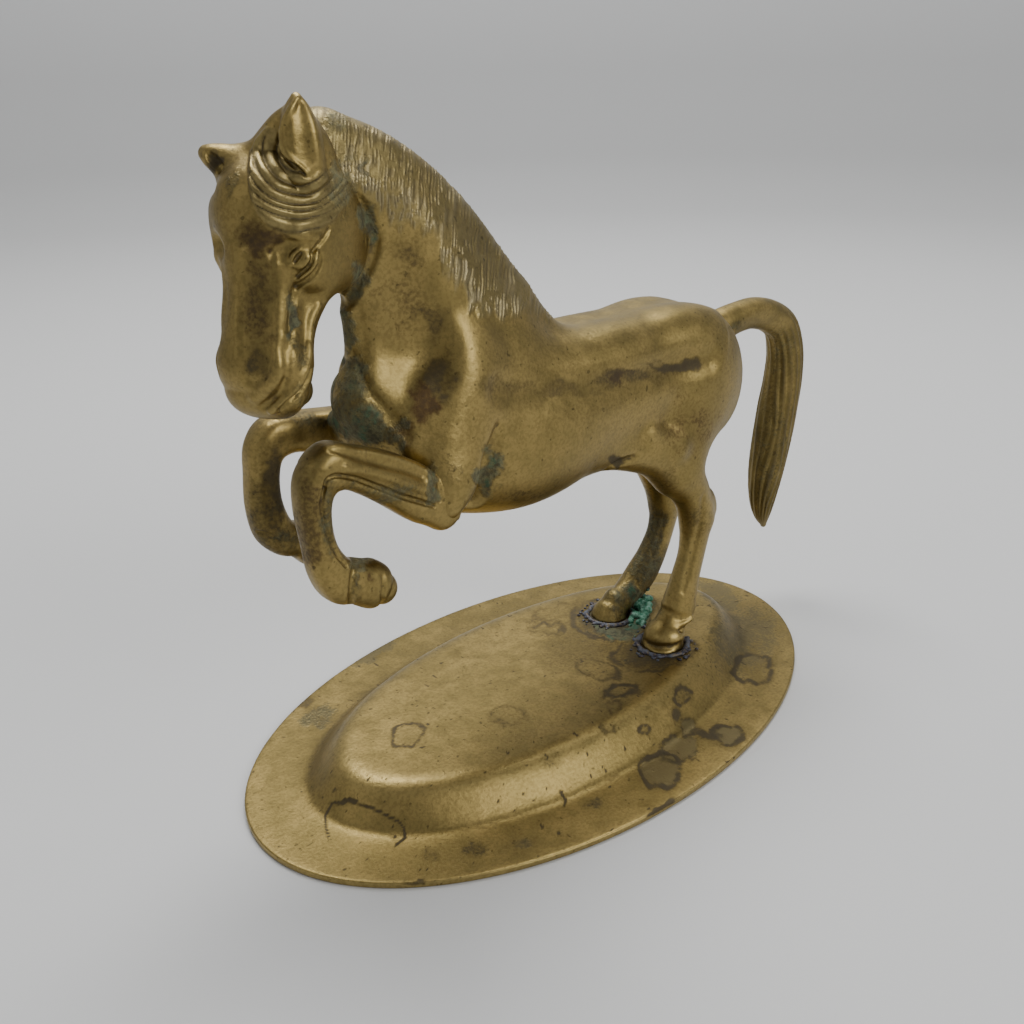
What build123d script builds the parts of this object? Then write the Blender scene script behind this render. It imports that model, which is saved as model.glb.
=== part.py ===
from build123d import *

import os

# A cast brass horse, reared on its hind legs, on a stepped oval base.
#
# Frame: the horse faces -X, its right side is +Y, +Z is up. The origin is the centre of the
# base's underside, where it rests. Everything is in millimetres.
#
# The horse is made as castings that are brazed together: a hollow trunk in two halves, each with
# its neck side and hind leg, then a head, two forelegs and a tail on tenons. Two screws from
# under the base hold the hind hooves, and a ring of solder closes the joint round each hoof.

# Base
BASE_LENGTH = 150.0
BASE_WIDTH = 91.0
RIM_WIDTH = 13.6  # flat rim, from the edge to the foot of the slope
RIM_THICKNESS = 1.4
SLOPE_RUN = 6.4
PLATEAU_HEIGHT = 8.5
BASE_WALL = 1.6
SHOULDER_RADIUS = 4.0  # round between slope and plateau
RIM_EDGE_RADIUS = 0.4

# Horse
HORSE_Y = -2.5  # its middle plane stands a little left of the base's
SHELL_WALL = 2.6
CORE_FRONT_X = -41.0
CORE_BACK_X = 38.0
CORE_NECK_SECTIONS = 4
TENON_RADIUS = 1.8
TENON_LENGTH = 4.0

# Head: turned to the horse's left about a vertical line
HEAD_X = -59.2
HEAD_Y = -3.0
HEAD_YAW = 25.0

# Fixings at the hind hooves
HOOVES = {"left": (26.2, -12.4), "right": (28.2, 6.2)}
SCREW_RADIUS = 1.5
SCREW_HOLE_RADIUS = 1.7
SCREW_DEPTH = 3.0  # length of thread in the hoof
SCREW_HEAD_RADIUS = 2.8
SCREW_HEAD_HEIGHT = 2.0
WASHER_RADIUS = 3.6
WASHER_THICKNESS = 0.6
SLOT_WIDTH = 1.0
SLOT_DEPTH = 1.0
SOLDER_WIDTH = 1.8
SOLDER_HEIGHT = 1.3

# Stations along the middle plane: x, z, half depth, half width
TRUNK = [
    (-47.5, 84.0, 2.0, 2.5),
    (-45.5, 82.5, 8.0, 7.2),
    (-40.0, 79.0, 14.5, 11.2),
    (-29.0, 76.0, 18.2, 13.4),
    (-16.0, 73.0, 17.8, 13.6),
    (-2.0, 72.3, 16.8, 13.2),
    (12.0, 73.0, 15.6, 12.8),
    (25.0, 74.2, 14.8, 12.8),
    (37.0, 73.0, 15.0, 12.8),
    (46.5, 71.5, 12.0, 11.0),
    (53.0, 71.0, 7.5, 7.5),
    (56.0, 71.0, 2.5, 3.0),
]
# Sections across the neck: crest x, z, throat x, z, half width
NECK = [
    (8.0, 84.0, -44.0, 72.0, 11.0),
    (-3.0, 91.0, -48.0, 82.0, 10.8),
    (-14.0, 103.5, -49.0, 90.5, 9.4),
    (-25.3, 115.8, -49.0, 98.5, 8.2),
    (-38.0, 125.2, -51.5, 104.0, 7.4),
    (-47.0, 129.3, -57.0, 109.0, 6.6),
]
# Stations down the head, ahead of and behind its own axis: z, front, back, half width
HEAD = [
    (130.2, 1.8, -4.0, 3.2),
    (127.5, 5.6, -6.8, 6.6),
    (121.5, 9.2, -9.2, 8.8),
    (115.5, 10.4, -9.6, 9.4),
    (110.0, 10.2, -8.0, 9.2),
    (104.0, 10.2, -3.0, 8.4),
    (98.5, 11.4, 2.0, 8.0),
    (93.0, 12.8, 3.4, 8.0),
    (89.0, 12.6, 4.0, 7.2),
    (87.0, 10.8, 5.6, 4.2),
]
EARS = {  # in the head's own frame
    "left": [
        (0.6, -5.6, 119.0, 3.8, 3.2),
        (0.0, -6.6, 125.5, 3.4, 2.6),
        (-0.8, -6.4, 130.0, 2.0, 1.5),
        (-1.4, -6.0, 132.8, 0.6, 0.5),
    ],
    "right": [
        (-1.0, 5.0, 120.0, 3.4, 3.0),
        (-2.4, 9.0, 123.2, 2.5, 2.2),
        (-3.2, 12.2, 125.2, 0.7, 0.7),
    ],
}
# Stations along the limbs: x, y from the middle plane, z, half depth, half width
UPPER_ARM = [
    (-31.5, 7.0, 84.0, 9.5, 5.0),
    (-34.5, 9.2, 74.0, 8.0, 4.8),
    (-37.6, 10.6, 66.6, 5.8, 4.0),
    (-39.8, 11.0, 61.2, 2.4, 2.3),
]
LEFT_FORELEG = [
    [(-41.5, -10.8, 67.4, 5.3, 3.9), (-50.0, -11.1, 73.6, 4.9, 3.8), (-61.0, -11.1, 78.0, 4.1, 3.6)],
    [
        (-62.6, -11.1, 79.2, 3.9, 3.6),
        (-65.3, -11.1, 72.1, 3.1, 2.9),
        (-64.7, -11.1, 65.8, 3.3, 3.1),
        (-62.2, -11.1, 59.2, 3.9, 3.4),
    ],
    [(-62.4, -11.1, 59.6, 3.6, 3.4), (-57.6, -11.1, 56.4, 4.1, 3.7), (-52.2, -11.1, 52.8, 3.2, 3.0)],
]
RIGHT_FORELEG = [
    [(-38.5, 10.2, 72.6, 5.0, 3.9), (-47.4, 10.5, 76.0, 4.5, 3.7), (-58.4, 10.5, 77.2, 3.8, 3.5)],
    [
        (-59.4, 10.5, 78.4, 3.8, 3.5),
        (-62.0, 10.5, 70.5, 3.3, 3.1),
        (-62.0, 10.5, 64.7, 3.6, 3.3),
        (-60.0, 10.5, 58.8, 3.7, 3.4),
    ],
    [(-60.2, 10.5, 59.2, 3.4, 3.3), (-56.6, 10.5, 56.0, 3.8, 3.5), (-51.6, 10.5, 53.0, 3.2, 3.0)],
]
KNEE_RADIUS = 4.1
FETLOCK_RADIUS = 3.9
LEFT_HIND = [
    [
        (38.0, -6.5, 74.0, 13.0, 6.0),
        (31.5, -8.0, 59.0, 10.2, 5.4),
        (32.2, -9.4, 48.5, 5.4, 4.4),
        (36.6, -9.9, 38.8, 4.6, 3.8),
    ],
    [
        (36.9, -9.9, 41.2, 3.6, 3.6),
        (35.7, -9.9, 30.2, 3.1, 2.9),
        (33.4, -9.9, 24.0, 3.1, 2.8),
        (30.6, -9.9, 17.0, 3.9, 3.6),
        (28.4, -9.9, 12.4, 3.2, 3.2),
    ],
]
RIGHT_HIND = [
    [
        (38.0, 6.5, 74.0, 13.0, 6.0),
        (36.0, 7.8, 60.0, 10.2, 5.4),
        (41.5, 8.4, 46.5, 5.6, 4.4),
        (47.4, 8.5, 34.5, 4.2, 3.6),
    ],
    [
        (47.9, 8.5, 36.5, 3.4, 3.4),
        (47.0, 8.5, 25.6, 3.1, 2.9),
        (40.4, 8.6, 16.6, 3.9, 3.5),
        (32.6, 8.7, 11.8, 3.4, 3.2),
    ],
]
HOOF = [(1.8, 12.6, 3.6), (1.2, 11.6, 4.4), (0.0, PLATEAU_HEIGHT, 5.3)]  # x, z, radius
TAIL = [
    (50.0, 77.5, 4.4, 4.0),
    (58.5, 79.4, 3.8, 3.6),
    (67.0, 80.6, 2.9, 3.2),
    (75.0, 78.4, 3.3, 3.6),
    (81.5, 72.5, 4.4, 4.2),
    (83.6, 63.0, 5.2, 4.8),
    (82.0, 53.0, 5.6, 5.0),
    (80.2, 42.5, 5.3, 4.8),
    (78.8, 32.0, 4.4, 4.0),
    (78.8, 23.5, 2.6, 2.4),
    (80.0, 18.8, 0.8, 0.8),
]


def loft_along(stations):
    """A smooth solid through elliptical sections square to the line that joins their centres."""
    centres = [Vector(x, y, z) for x, y, z, _, _ in stations]
    sections = []
    for i, (x, y, z, depth, width) in enumerate(stations):
        before = centres[max(i - 1, 0)]
        after = centres[min(i + 1, len(centres) - 1)]
        along = (after - before).normalized()
        side = (Vector(0, 1, 0) - along * along.Y).normalized()
        plane = Plane(origin=centres[i], x_dir=side, z_dir=along)
        sections.append(plane * Ellipse(width, depth))
    return loft(sections)


def on_middle_plane(stations):
    return [(x, HORSE_Y, z, depth, width) for x, z, depth, width in stations]


def on_side(stations, side=1):
    """Stations given from the horse's middle plane; side -1 mirrors them to its left."""
    return [(x, HORSE_Y + side * y, z, depth, width) for x, y, z, depth, width in stations]


def limb(segments, joint_radii=()):
    """Tapering lengths of a limb, with a ball where one meets the next."""
    solid = None
    for segment in segments:
        piece = loft_along(on_side(segment))
        solid = piece if solid is None else solid + piece
    for segment, radius in zip(segments, joint_radii):
        x, y, z, _, _ = segment[-1]
        solid += Pos(x, HORSE_Y + y, z) * Sphere(radius)
    return solid


def neck(inset=0.0, count=len(NECK)):
    sections = []
    for cx, cz, tx, tz, width in NECK[:count]:
        across = Vector(tx - cx, 0, tz - cz)
        centre = ((cx + tx) / 2, HORSE_Y, (cz + tz) / 2)
        plane = Plane(origin=centre, x_dir=across, z_dir=across.cross(Vector(0, 1, 0)))
        sections.append(plane * Ellipse(across.length / 2 - inset, width - inset))
    return loft(sections)


def head():
    sections = []
    for z, front, back, width in HEAD:
        plane = Plane(origin=(-(front + back) / 2, 0, z), x_dir=(1, 0, 0), z_dir=(0, 0, -1))
        sections.append(plane * Ellipse((front - back) / 2, width))
    solid = loft(sections)
    for stations in EARS.values():
        solid += loft_along(stations)
    return Pos(HEAD_X, HEAD_Y, 0) * Rot(0, 0, HEAD_YAW) * solid


def hoof(side):
    hx, hy = HOOVES[side]
    sections = []
    for x, z, radius in HOOF:
        plane = Plane(origin=(hx + x, hy, z), z_dir=(0, 0, -1))
        sections.append(plane * Circle(radius))
    return loft(sections, ruled=True)


def base():
    half_l, half_w = BASE_LENGTH / 2, BASE_WIDTH / 2
    foot = RIM_WIDTH
    top = RIM_WIDTH + SLOPE_RUN

    def oval(inset, z):
        return Pos(0, 0, z) * Ellipse(half_l - inset, half_w - inset)

    plate = extrude(oval(0, 0), RIM_THICKNESS)
    raised = loft([oval(foot, RIM_THICKNESS), oval(top, PLATEAU_HEIGHT)], ruled=True)
    solid = plate + raised
    ledges = solid.edges().filter_by(GeomType.ELLIPSE).group_by(Axis.Z)
    solid = fillet(ledges[-1], SHOULDER_RADIUS)
    edge = solid.edges().filter_by(GeomType.ELLIPSE).group_by(Axis.Z)[1].sort_by(SortBy.LENGTH)[-1]
    solid = fillet(edge, RIM_EDGE_RADIUS)
    hollow = loft(
        [oval(foot + BASE_WALL, 0), oval(top + BASE_WALL, PLATEAU_HEIGHT - BASE_WALL)], ruled=True
    )
    solid = solid - hollow
    for hx, hy in HOOVES.values():
        solid -= Pos(hx, hy, PLATEAU_HEIGHT) * Cylinder(SCREW_HOLE_RADIUS, 4 * BASE_WALL)
    return solid


def tenon(root, towards):
    """A round pin from root, running the tenon's length into the piece it is let into."""
    plane = Plane(origin=root, z_dir=towards)
    return extrude(plane * Circle(TENON_RADIUS), TENON_LENGTH)


def core():
    """The hollow inside trunk and neck."""
    barrel = [
        (x, HORSE_Y, z, depth - SHELL_WALL, width - SHELL_WALL)
        for x, z, depth, width in TRUNK
        if CORE_FRONT_X <= x <= CORE_BACK_X
    ]
    return loft_along(barrel) + neck(SHELL_WALL, CORE_NECK_SECTIONS)


def solder_ring(side, leg):
    hx, hy = HOOVES[side]
    wide = HOOF[-1][2] + SOLDER_WIDTH
    ring = Pos(hx, hy, PLATEAU_HEIGHT) * Cone(
        wide, wide - 1.1, SOLDER_HEIGHT, align=(Align.CENTER, Align.CENTER, Align.MIN)
    )
    return ring - hoof(side) - leg


def screw(side):
    hx, hy = HOOVES[side]
    seat = PLATEAU_HEIGHT - BASE_WALL - WASHER_THICKNESS
    length = PLATEAU_HEIGHT + SCREW_DEPTH - seat
    up = (Align.CENTER, Align.CENTER, Align.MIN)
    down = (Align.CENTER, Align.CENTER, Align.MAX)
    shank = Pos(hx, hy, seat) * Cylinder(SCREW_RADIUS, length, align=up)
    cap = Pos(hx, hy, seat) * Cylinder(SCREW_HEAD_RADIUS, SCREW_HEAD_HEIGHT, align=down)
    slot = Pos(hx, hy, seat - SCREW_HEAD_HEIGHT) * Box(
        3 * SCREW_HEAD_RADIUS, SLOT_WIDTH, SLOT_DEPTH, align=up
    )
    return shank + cap - slot


def washer(side):
    hx, hy = HOOVES[side]
    top = PLATEAU_HEIGHT - BASE_WALL
    down = (Align.CENTER, Align.CENTER, Align.MAX)
    disc = Cylinder(WASHER_RADIUS, WASHER_THICKNESS, align=down)
    return Pos(hx, hy, top) * (disc - Cylinder(SCREW_HOLE_RADIUS, 4 * WASHER_THICKNESS))


def main():
    head_casting = head() + tenon((-51.0, HORSE_Y, 115.0), (0.93, 0, -0.36))
    forelegs = {
        "left": limb(LEFT_FORELEG, (KNEE_RADIUS, FETLOCK_RADIUS))
        + tenon((-42.0, HORSE_Y - 10.8, 67.0), (0.8, 0, -0.1)),
        "right": limb(RIGHT_FORELEG, (KNEE_RADIUS, FETLOCK_RADIUS))
        + tenon((-39.0, HORSE_Y + 10.2, 72.6), (1, 0, -0.2)),
    }
    tail = loft_along(on_middle_plane(TAIL))

    trunk = loft_along(on_middle_plane(TRUNK)) + neck()
    for side in (-1, 1):
        trunk += loft_along(on_side(UPPER_ARM, side))
    trunk = trunk + limb(LEFT_HIND) + hoof("left") + limb(RIGHT_HIND) + hoof("right")
    trunk = trunk - head_casting - tail - forelegs["left"] - forelegs["right"] - core()
    for side in HOOVES:
        trunk -= screw(side)
    middle = Plane.XZ.offset(-HORSE_Y)

    nodes = {
        "base": base(),
        "body_left_half": split(trunk, bisect_by=middle, keep=Keep.TOP),
        "body_right_half": split(trunk, bisect_by=middle, keep=Keep.BOTTOM),
        "head": head_casting,
        "left_foreleg": forelegs["left"],
        "right_foreleg": forelegs["right"],
        "tail": tail,
        "left_hoof_solder": solder_ring("left", limb(LEFT_HIND)),
        "right_hoof_solder": solder_ring("right", limb(RIGHT_HIND)),
        "hoof_screws": Compound(children=[screw(side) for side in HOOVES]),
        "hoof_screw_washers": Compound(children=[washer(side) for side in HOOVES]),
    }
    for name, shape in nodes.items():
        export_step(shape, f"parts/{name}.step")


os.makedirs("parts", exist_ok=True)
main()
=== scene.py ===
"""Looks for the cast brass horse on its oval base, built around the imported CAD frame."""

import math

import bmesh
import bpy
import numpy as np
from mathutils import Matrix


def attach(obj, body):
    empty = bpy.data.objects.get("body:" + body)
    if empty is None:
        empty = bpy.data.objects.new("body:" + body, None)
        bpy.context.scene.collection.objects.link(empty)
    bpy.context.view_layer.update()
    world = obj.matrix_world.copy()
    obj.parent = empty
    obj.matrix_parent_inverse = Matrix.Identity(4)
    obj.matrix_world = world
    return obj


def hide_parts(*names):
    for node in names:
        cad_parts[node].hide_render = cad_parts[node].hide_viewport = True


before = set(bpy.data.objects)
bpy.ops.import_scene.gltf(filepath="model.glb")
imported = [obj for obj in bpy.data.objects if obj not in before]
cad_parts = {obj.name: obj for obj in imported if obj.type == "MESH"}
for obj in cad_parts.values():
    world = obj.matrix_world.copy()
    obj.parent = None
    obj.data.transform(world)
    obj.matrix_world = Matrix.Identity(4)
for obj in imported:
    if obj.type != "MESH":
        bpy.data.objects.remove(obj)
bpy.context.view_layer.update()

import openvdb
from mathutils import Euler, Matrix, Vector

MM = 0.001
M = -2.5  # y of the horse's middle plane, mm
FLOOR_Z = 8.5  # top of the base's raised part, mm
# mm between the samples of a block of clay, for the trunk and for smaller pieces
STEP = 0.34
FINE = 0.2


# ---------------------------------------------------------------- the viewing point
EYE = np.array((-142.65, -145.57, 135.30))
LOOK = np.array((0.61803, 0.67885, -0.39649))
LENS, SENSOR, ROLL = 36.1, 36.0, math.radians(-1.177)
LOOK = LOOK / np.linalg.norm(LOOK)
level = np.cross(LOOK, (0, 0, 1.0))
level /= np.linalg.norm(level)
upright = np.cross(level, LOOK)
RIGHT = math.cos(ROLL) * level + math.sin(ROLL) * upright
UP = -math.sin(ROLL) * level + math.cos(ROLL) * upright
# The pane stands for the picture, 5 pixels to the mm. The places on it (u, v) in this script were read
# off the photograph as pixels and divided by 5 by another script. They aren't worked out from the frame.
PANE = 205.37  # mm from the eye to a pane of glass square to the line of sight
HALF_PANE = 0.5 * PANE * SENSOR / LENS


def picture(p):
    """Where points show on the pane, mm across and down from its top left corner, and their distance."""
    d = p - EYE
    far = d @ LOOK
    return HALF_PANE + PANE * (d @ RIGHT) / far, HALF_PANE - PANE * (d @ UP) / far, far


def sight(u, v):
    """The way from the eye through a place on the pane."""
    d = LOOK + (u - HALF_PANE) / PANE * RIGHT + (HALF_PANE - v) / PANE * UP
    return d / np.linalg.norm(d)


# ---------------------------------------------------------------- fields
def spline(rows, samples_per_span=14):
    """Rows of numbers run through by a Catmull-Rom curve."""
    p = np.array(rows, float)
    p = np.vstack([2 * p[0] - p[1], p, 2 * p[-1] - p[-2]])
    out = []
    for i in range(1, len(p) - 2):
        t = np.linspace(0, 1, samples_per_span, endpoint=False)[:, None]
        a, b, c, d = p[i - 1], p[i], p[i + 1], p[i + 2]
        out.append(0.5 * (2 * b + (c - a) * t + (2 * a - 5 * b + 4 * c - d) * t * t
                          + (3 * b - a - 3 * c + d) * t ** 3))
    out.append(p[-2][None])
    return np.vstack(out)


def smin(a, b, k):
    h = np.clip(0.5 + 0.5 * (b - a) / k, 0, 1)
    return b + (a - b) * h - k * h * (1 - h)


def smax(a, b, k):
    return -smin(-a, -b, k)


def ease(x, a, b):
    t = np.clip((x - a) / (b - a), 0, 1)
    return t * t * (3 - 2 * t)


def oval_distance(u, y, a, b, n=2.0):
    """Roughly how far (u, y) is outside a superellipse of half axes a and b."""
    p = np.abs(u) / a
    q = np.abs(y) / b
    if n == 2.0:
        k = np.sqrt(p * p + q * q) + 1e-9
        g = np.sqrt((p / a) ** 2 + (q / b) ** 2) / k
    else:
        k = (p ** n + q ** n + 1e-12) ** (1 / n)
        g = k ** (1 - n) * np.sqrt((p ** (n - 1) / a) ** 2 + (q ** (n - 1) / b) ** 2)
    return (k - 1) / np.maximum(g, 0.2 / np.minimum(a, b))


class Clay:
    """A block of space that forms are added to and cut from, in mm.

    It may have a place of its own: an x, y to turn about and a turn, in degrees."""

    def __init__(self, low, high, step, place=(0.0, 0.0), turn=0.0):
        self.step = step
        self.low = np.array(low, float)
        n = np.ceil((np.array(high) - self.low) / step).astype(int) + 1
        self.axes = [self.low[i] + step * np.arange(n[i]) for i in range(3)]
        self.field = np.full(n, 6.0, np.float32)
        a = math.radians(turn)
        self.spin = np.array(((math.cos(a), -math.sin(a), 0), (math.sin(a), math.cos(a), 0), (0, 0, 1)))
        self.place = np.array((place[0], place[1], 0.0))

    def world(self, p):
        return np.asarray(p) @ self.spin.T + self.place

    def local(self, p):
        return (np.asarray(p) - self.place) @ self.spin

    def window(self, low, high):
        cut = []
        for i in range(3):
            a = int(np.clip(np.floor((low[i] - self.low[i]) / self.step), 0, len(self.axes[i])))
            b = int(np.clip(np.ceil((high[i] - self.low[i]) / self.step) + 1, 0, len(self.axes[i])))
            cut.append(slice(a, b))
        x, y, z = (self.axes[i][cut[i]].astype(np.float32) for i in range(3))
        return tuple(cut), x[:, None, None], y[None, :, None], z[None, None, :]

    def merge(self, cut, d, k, dig=False):
        """Add or cut a form, with the joint rounded over a width of k."""
        old = self.field[cut]
        self.field[cut] = smax(old, -d, k) if dig else smin(old, d, k)

    def limb(self, rows, k, power=2.0, y=0.0):
        """A form along a curve that runs ahead and up.

        Each row: x, z of the curve, half depth to the left of travel, half depth to the right,
        half width and, if the row is off the plane y, how far."""
        s = spline([r if len(r) == 6 else r + (0.0,) for r in rows])
        s[:, 5] += y
        s[:, 2:5] = np.maximum(s[:, 2:5], 0.05)
        reach = max(s[:, 2].max(), s[:, 3].max()) + k + 2.0
        wide = s[:, 4].max() + k + 2.0
        low = (s[:, 0].min() - reach, s[:, 5].min() - wide, s[:, 1].min() - reach)
        high = (s[:, 0].max() + reach, s[:, 5].max() + wide, s[:, 1].max() + reach)
        cut, x, y, z = self.window(low, high)
        px = np.repeat(x[:, :, 0], z.shape[2], 1)
        pz = np.repeat(z[0], x.shape[0], 0)
        u, e, a, b, w, yc = self.along(px, pz, s)
        a = np.where(u > 0, a, b)
        r = np.sqrt(u * u + e * e)[:, None, :]
        d = oval_distance(r, y - yc[:, None, :], a[:, None, :], w[:, None, :], power)
        self.merge(cut, d, k)

    @staticmethod
    def along(px, pz, s):
        """For each (px, pz): offset to the curve's left, overshoot past it, and the curve's numbers there."""
        best = np.full(px.shape, 1e9, np.float32)
        vals = np.zeros((6,) + px.shape, np.float32)
        for i in range(len(s) - 1):
            a, b = s[i, :2], s[i + 1, :2]
            d = b - a
            l2 = d @ d + 1e-12
            t = np.clip(((px - a[0]) * d[0] + (pz - a[1]) * d[1]) / l2, 0, 1)
            gx, gz = px - a[0] - t * d[0], pz - a[1] - t * d[1]
            r2 = gx ** 2 + gz ** 2
            m = r2 < best
            best = np.where(m, r2, best)
            l = math.sqrt(l2)
            new = [(gz * d[0] - gx * d[1]) / l, (gx * d[0] + gz * d[1]) / l]
            new += [s[i, j] + t * (s[i + 1, j] - s[i, j]) for j in range(2, 6)]
            for j in range(6):
                vals[j] = np.where(m, new[j], vals[j])
        return vals

    def blob(self, centre, radii, k, turn=0.0, power=2.0):
        """A rounded form; turn: degrees about y."""
        reach = max(radii) + k + 2.0
        c = np.array(centre, float)
        cut, x, y, z = self.window(c - reach, c + reach)
        m = np.array(Euler((0, math.radians(turn), 0)).to_matrix().transposed())
        dx, dy, dz = x - c[0], y - c[1], z - c[2]
        p = [m[i, 0] * dx + m[i, 1] * dy + m[i, 2] * dz for i in range(3)]
        q = [np.abs(p[i]) / radii[i] for i in range(3)]
        kk = (q[0] ** power + q[1] ** power + q[2] ** power + 1e-9) ** (1 / power)
        g = kk ** (1 - power) * np.sqrt(sum((q[i] ** (power - 1) / radii[i]) ** 2 for i in range(3)))
        self.merge(cut, (kk - 1) / np.maximum(g, 0.3 / max(radii)), k)

    def rope(self, points, k, dig=False):
        """A round form along a curve in space: rows of x, y, z, radius."""
        s = spline(points, 6)
        s[:, 3] = np.maximum(s[:, 3], 0.02)
        reach = s[:, 3].max() + k + 1.5
        cut, x, y, z = self.window(s[:, :3].min(0) - reach, s[:, :3].max(0) + reach)
        best = None
        for i in range(len(s) - 1):
            a, b = s[i], s[i + 1]
            d = b[:3] - a[:3]
            l2 = d @ d + 1e-12
            t = np.clip(((x - a[0]) * d[0] + (y - a[1]) * d[1] + (z - a[2]) * d[2]) / l2, 0, 1)
            r = np.sqrt((x - a[0] - t * d[0]) ** 2 + (y - a[1] - t * d[1]) ** 2
                        + (z - a[2] - t * d[2]) ** 2) - (a[3] + t * (b[3] - a[3]))
            best = r if best is None else np.minimum(best, r)
        self.merge(cut, best, k, dig)

    def read(self, p):
        """The field at points given in the clay's own frame."""
        q = (np.asarray(p) - self.low) / self.step
        q = np.clip(q, 0, np.array(self.field.shape) - 1.001)
        i = q.astype(int)
        f = q - i
        out = 0
        for a in (0, 1):
            for b in (0, 1):
                for c in (0, 1):
                    w = (f[..., 0] if a else 1 - f[..., 0]) * (f[..., 1] if b else 1 - f[..., 1]) \
                        * (f[..., 2] if c else 1 - f[..., 2])
                    out = out + w * self.field[i[..., 0] + a, i[..., 1] + b, i[..., 2] + c]
        return out

    def touch(self, u, v, sink):
        """The point of the clay seen at (u, v) on the pane, pushed in by sink."""
        start = self.local(EYE)
        way = sight(u, v) @ self.spin
        t = np.arange(60.0, 330.0, 0.12)
        p = start + t[:, None] * way
        f = self.read(p)
        inside = np.nonzero(f < 0)[0]
        if len(inside) == 0:
            i = int(np.argmin(f))
            return p[i] + sink * way
        i = max(int(inside[0]), 1)
        w = f[i - 1] / (f[i - 1] - f[i] + 1e-9)
        return p[i - 1] + w * (p[i] - p[i - 1]) + sink * way

    def trace(self, marks, k, dig, sink, both):
        """A rope laid on the clay through marks (u, v, radius) on the pane.

        both: the y of a middle plane to repeat the rope on the other side of."""
        rows = [tuple(self.touch(m[0], m[1], sink if len(m) < 4 else m[3])) + (m[2],) for m in marks]
        self.rope(rows, k, dig)
        if both is not None:
            self.rope([(x, 2 * both - y, z, r) for x, y, z, r in rows], k, dig)

    def ridge(self, marks, k, sink=0.0, both=None):
        self.trace(marks, k, False, sink, both)

    def groove(self, marks, k, sink=0.0, both=None):
        self.trace(marks, k, True, sink, both)

    def soften(self, times=1):
        f = self.field
        for _ in range(times):
            for ax in range(3):
                g = f.copy()
                n = f.shape[ax]
                sl = [slice(None)] * 3
                lo, mid, hi = list(sl), list(sl), list(sl)
                lo[ax], mid[ax], hi[ax] = slice(0, n - 2), slice(1, n - 1), slice(2, n)
                g[tuple(mid)] = 0.25 * f[tuple(lo)] + 0.5 * f[tuple(mid)] + 0.25 * f[tuple(hi)]
                f = g
        self.field = f

    def surface(self):
        grid = openvdb.FloatGrid(background=6.0)
        grid.copyFromArray(self.field, tolerance=0.0)
        points, quads = grid.convertToQuads(isovalue=0.0)
        return self.world(points * self.step + self.low), quads


def grain(a, b, seed=0.0):
    """Smooth random numbers, 0 to 1, over a plane."""
    i, j = np.floor(a), np.floor(b)
    fa, fb = a - i, b - j
    fa, fb = fa * fa * (3 - 2 * fa), fb * fb * (3 - 2 * fb)

    def pick(p, q):
        h = np.sin(p * 127.1 + q * 311.7 + seed * 74.7) * 43758.5453
        return h - np.floor(h)

    return (pick(i, j) * (1 - fa) + pick(i + 1, j) * fa) * (1 - fb) \
        + (pick(i, j + 1) * (1 - fa) + pick(i + 1, j + 1) * fa) * fb


# ---------------------------------------------------------------- the horse's forms
HOOVES = ((26.2, -12.4), (28.2, 6.2))  # x, y of the hind hooves, left then right


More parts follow.
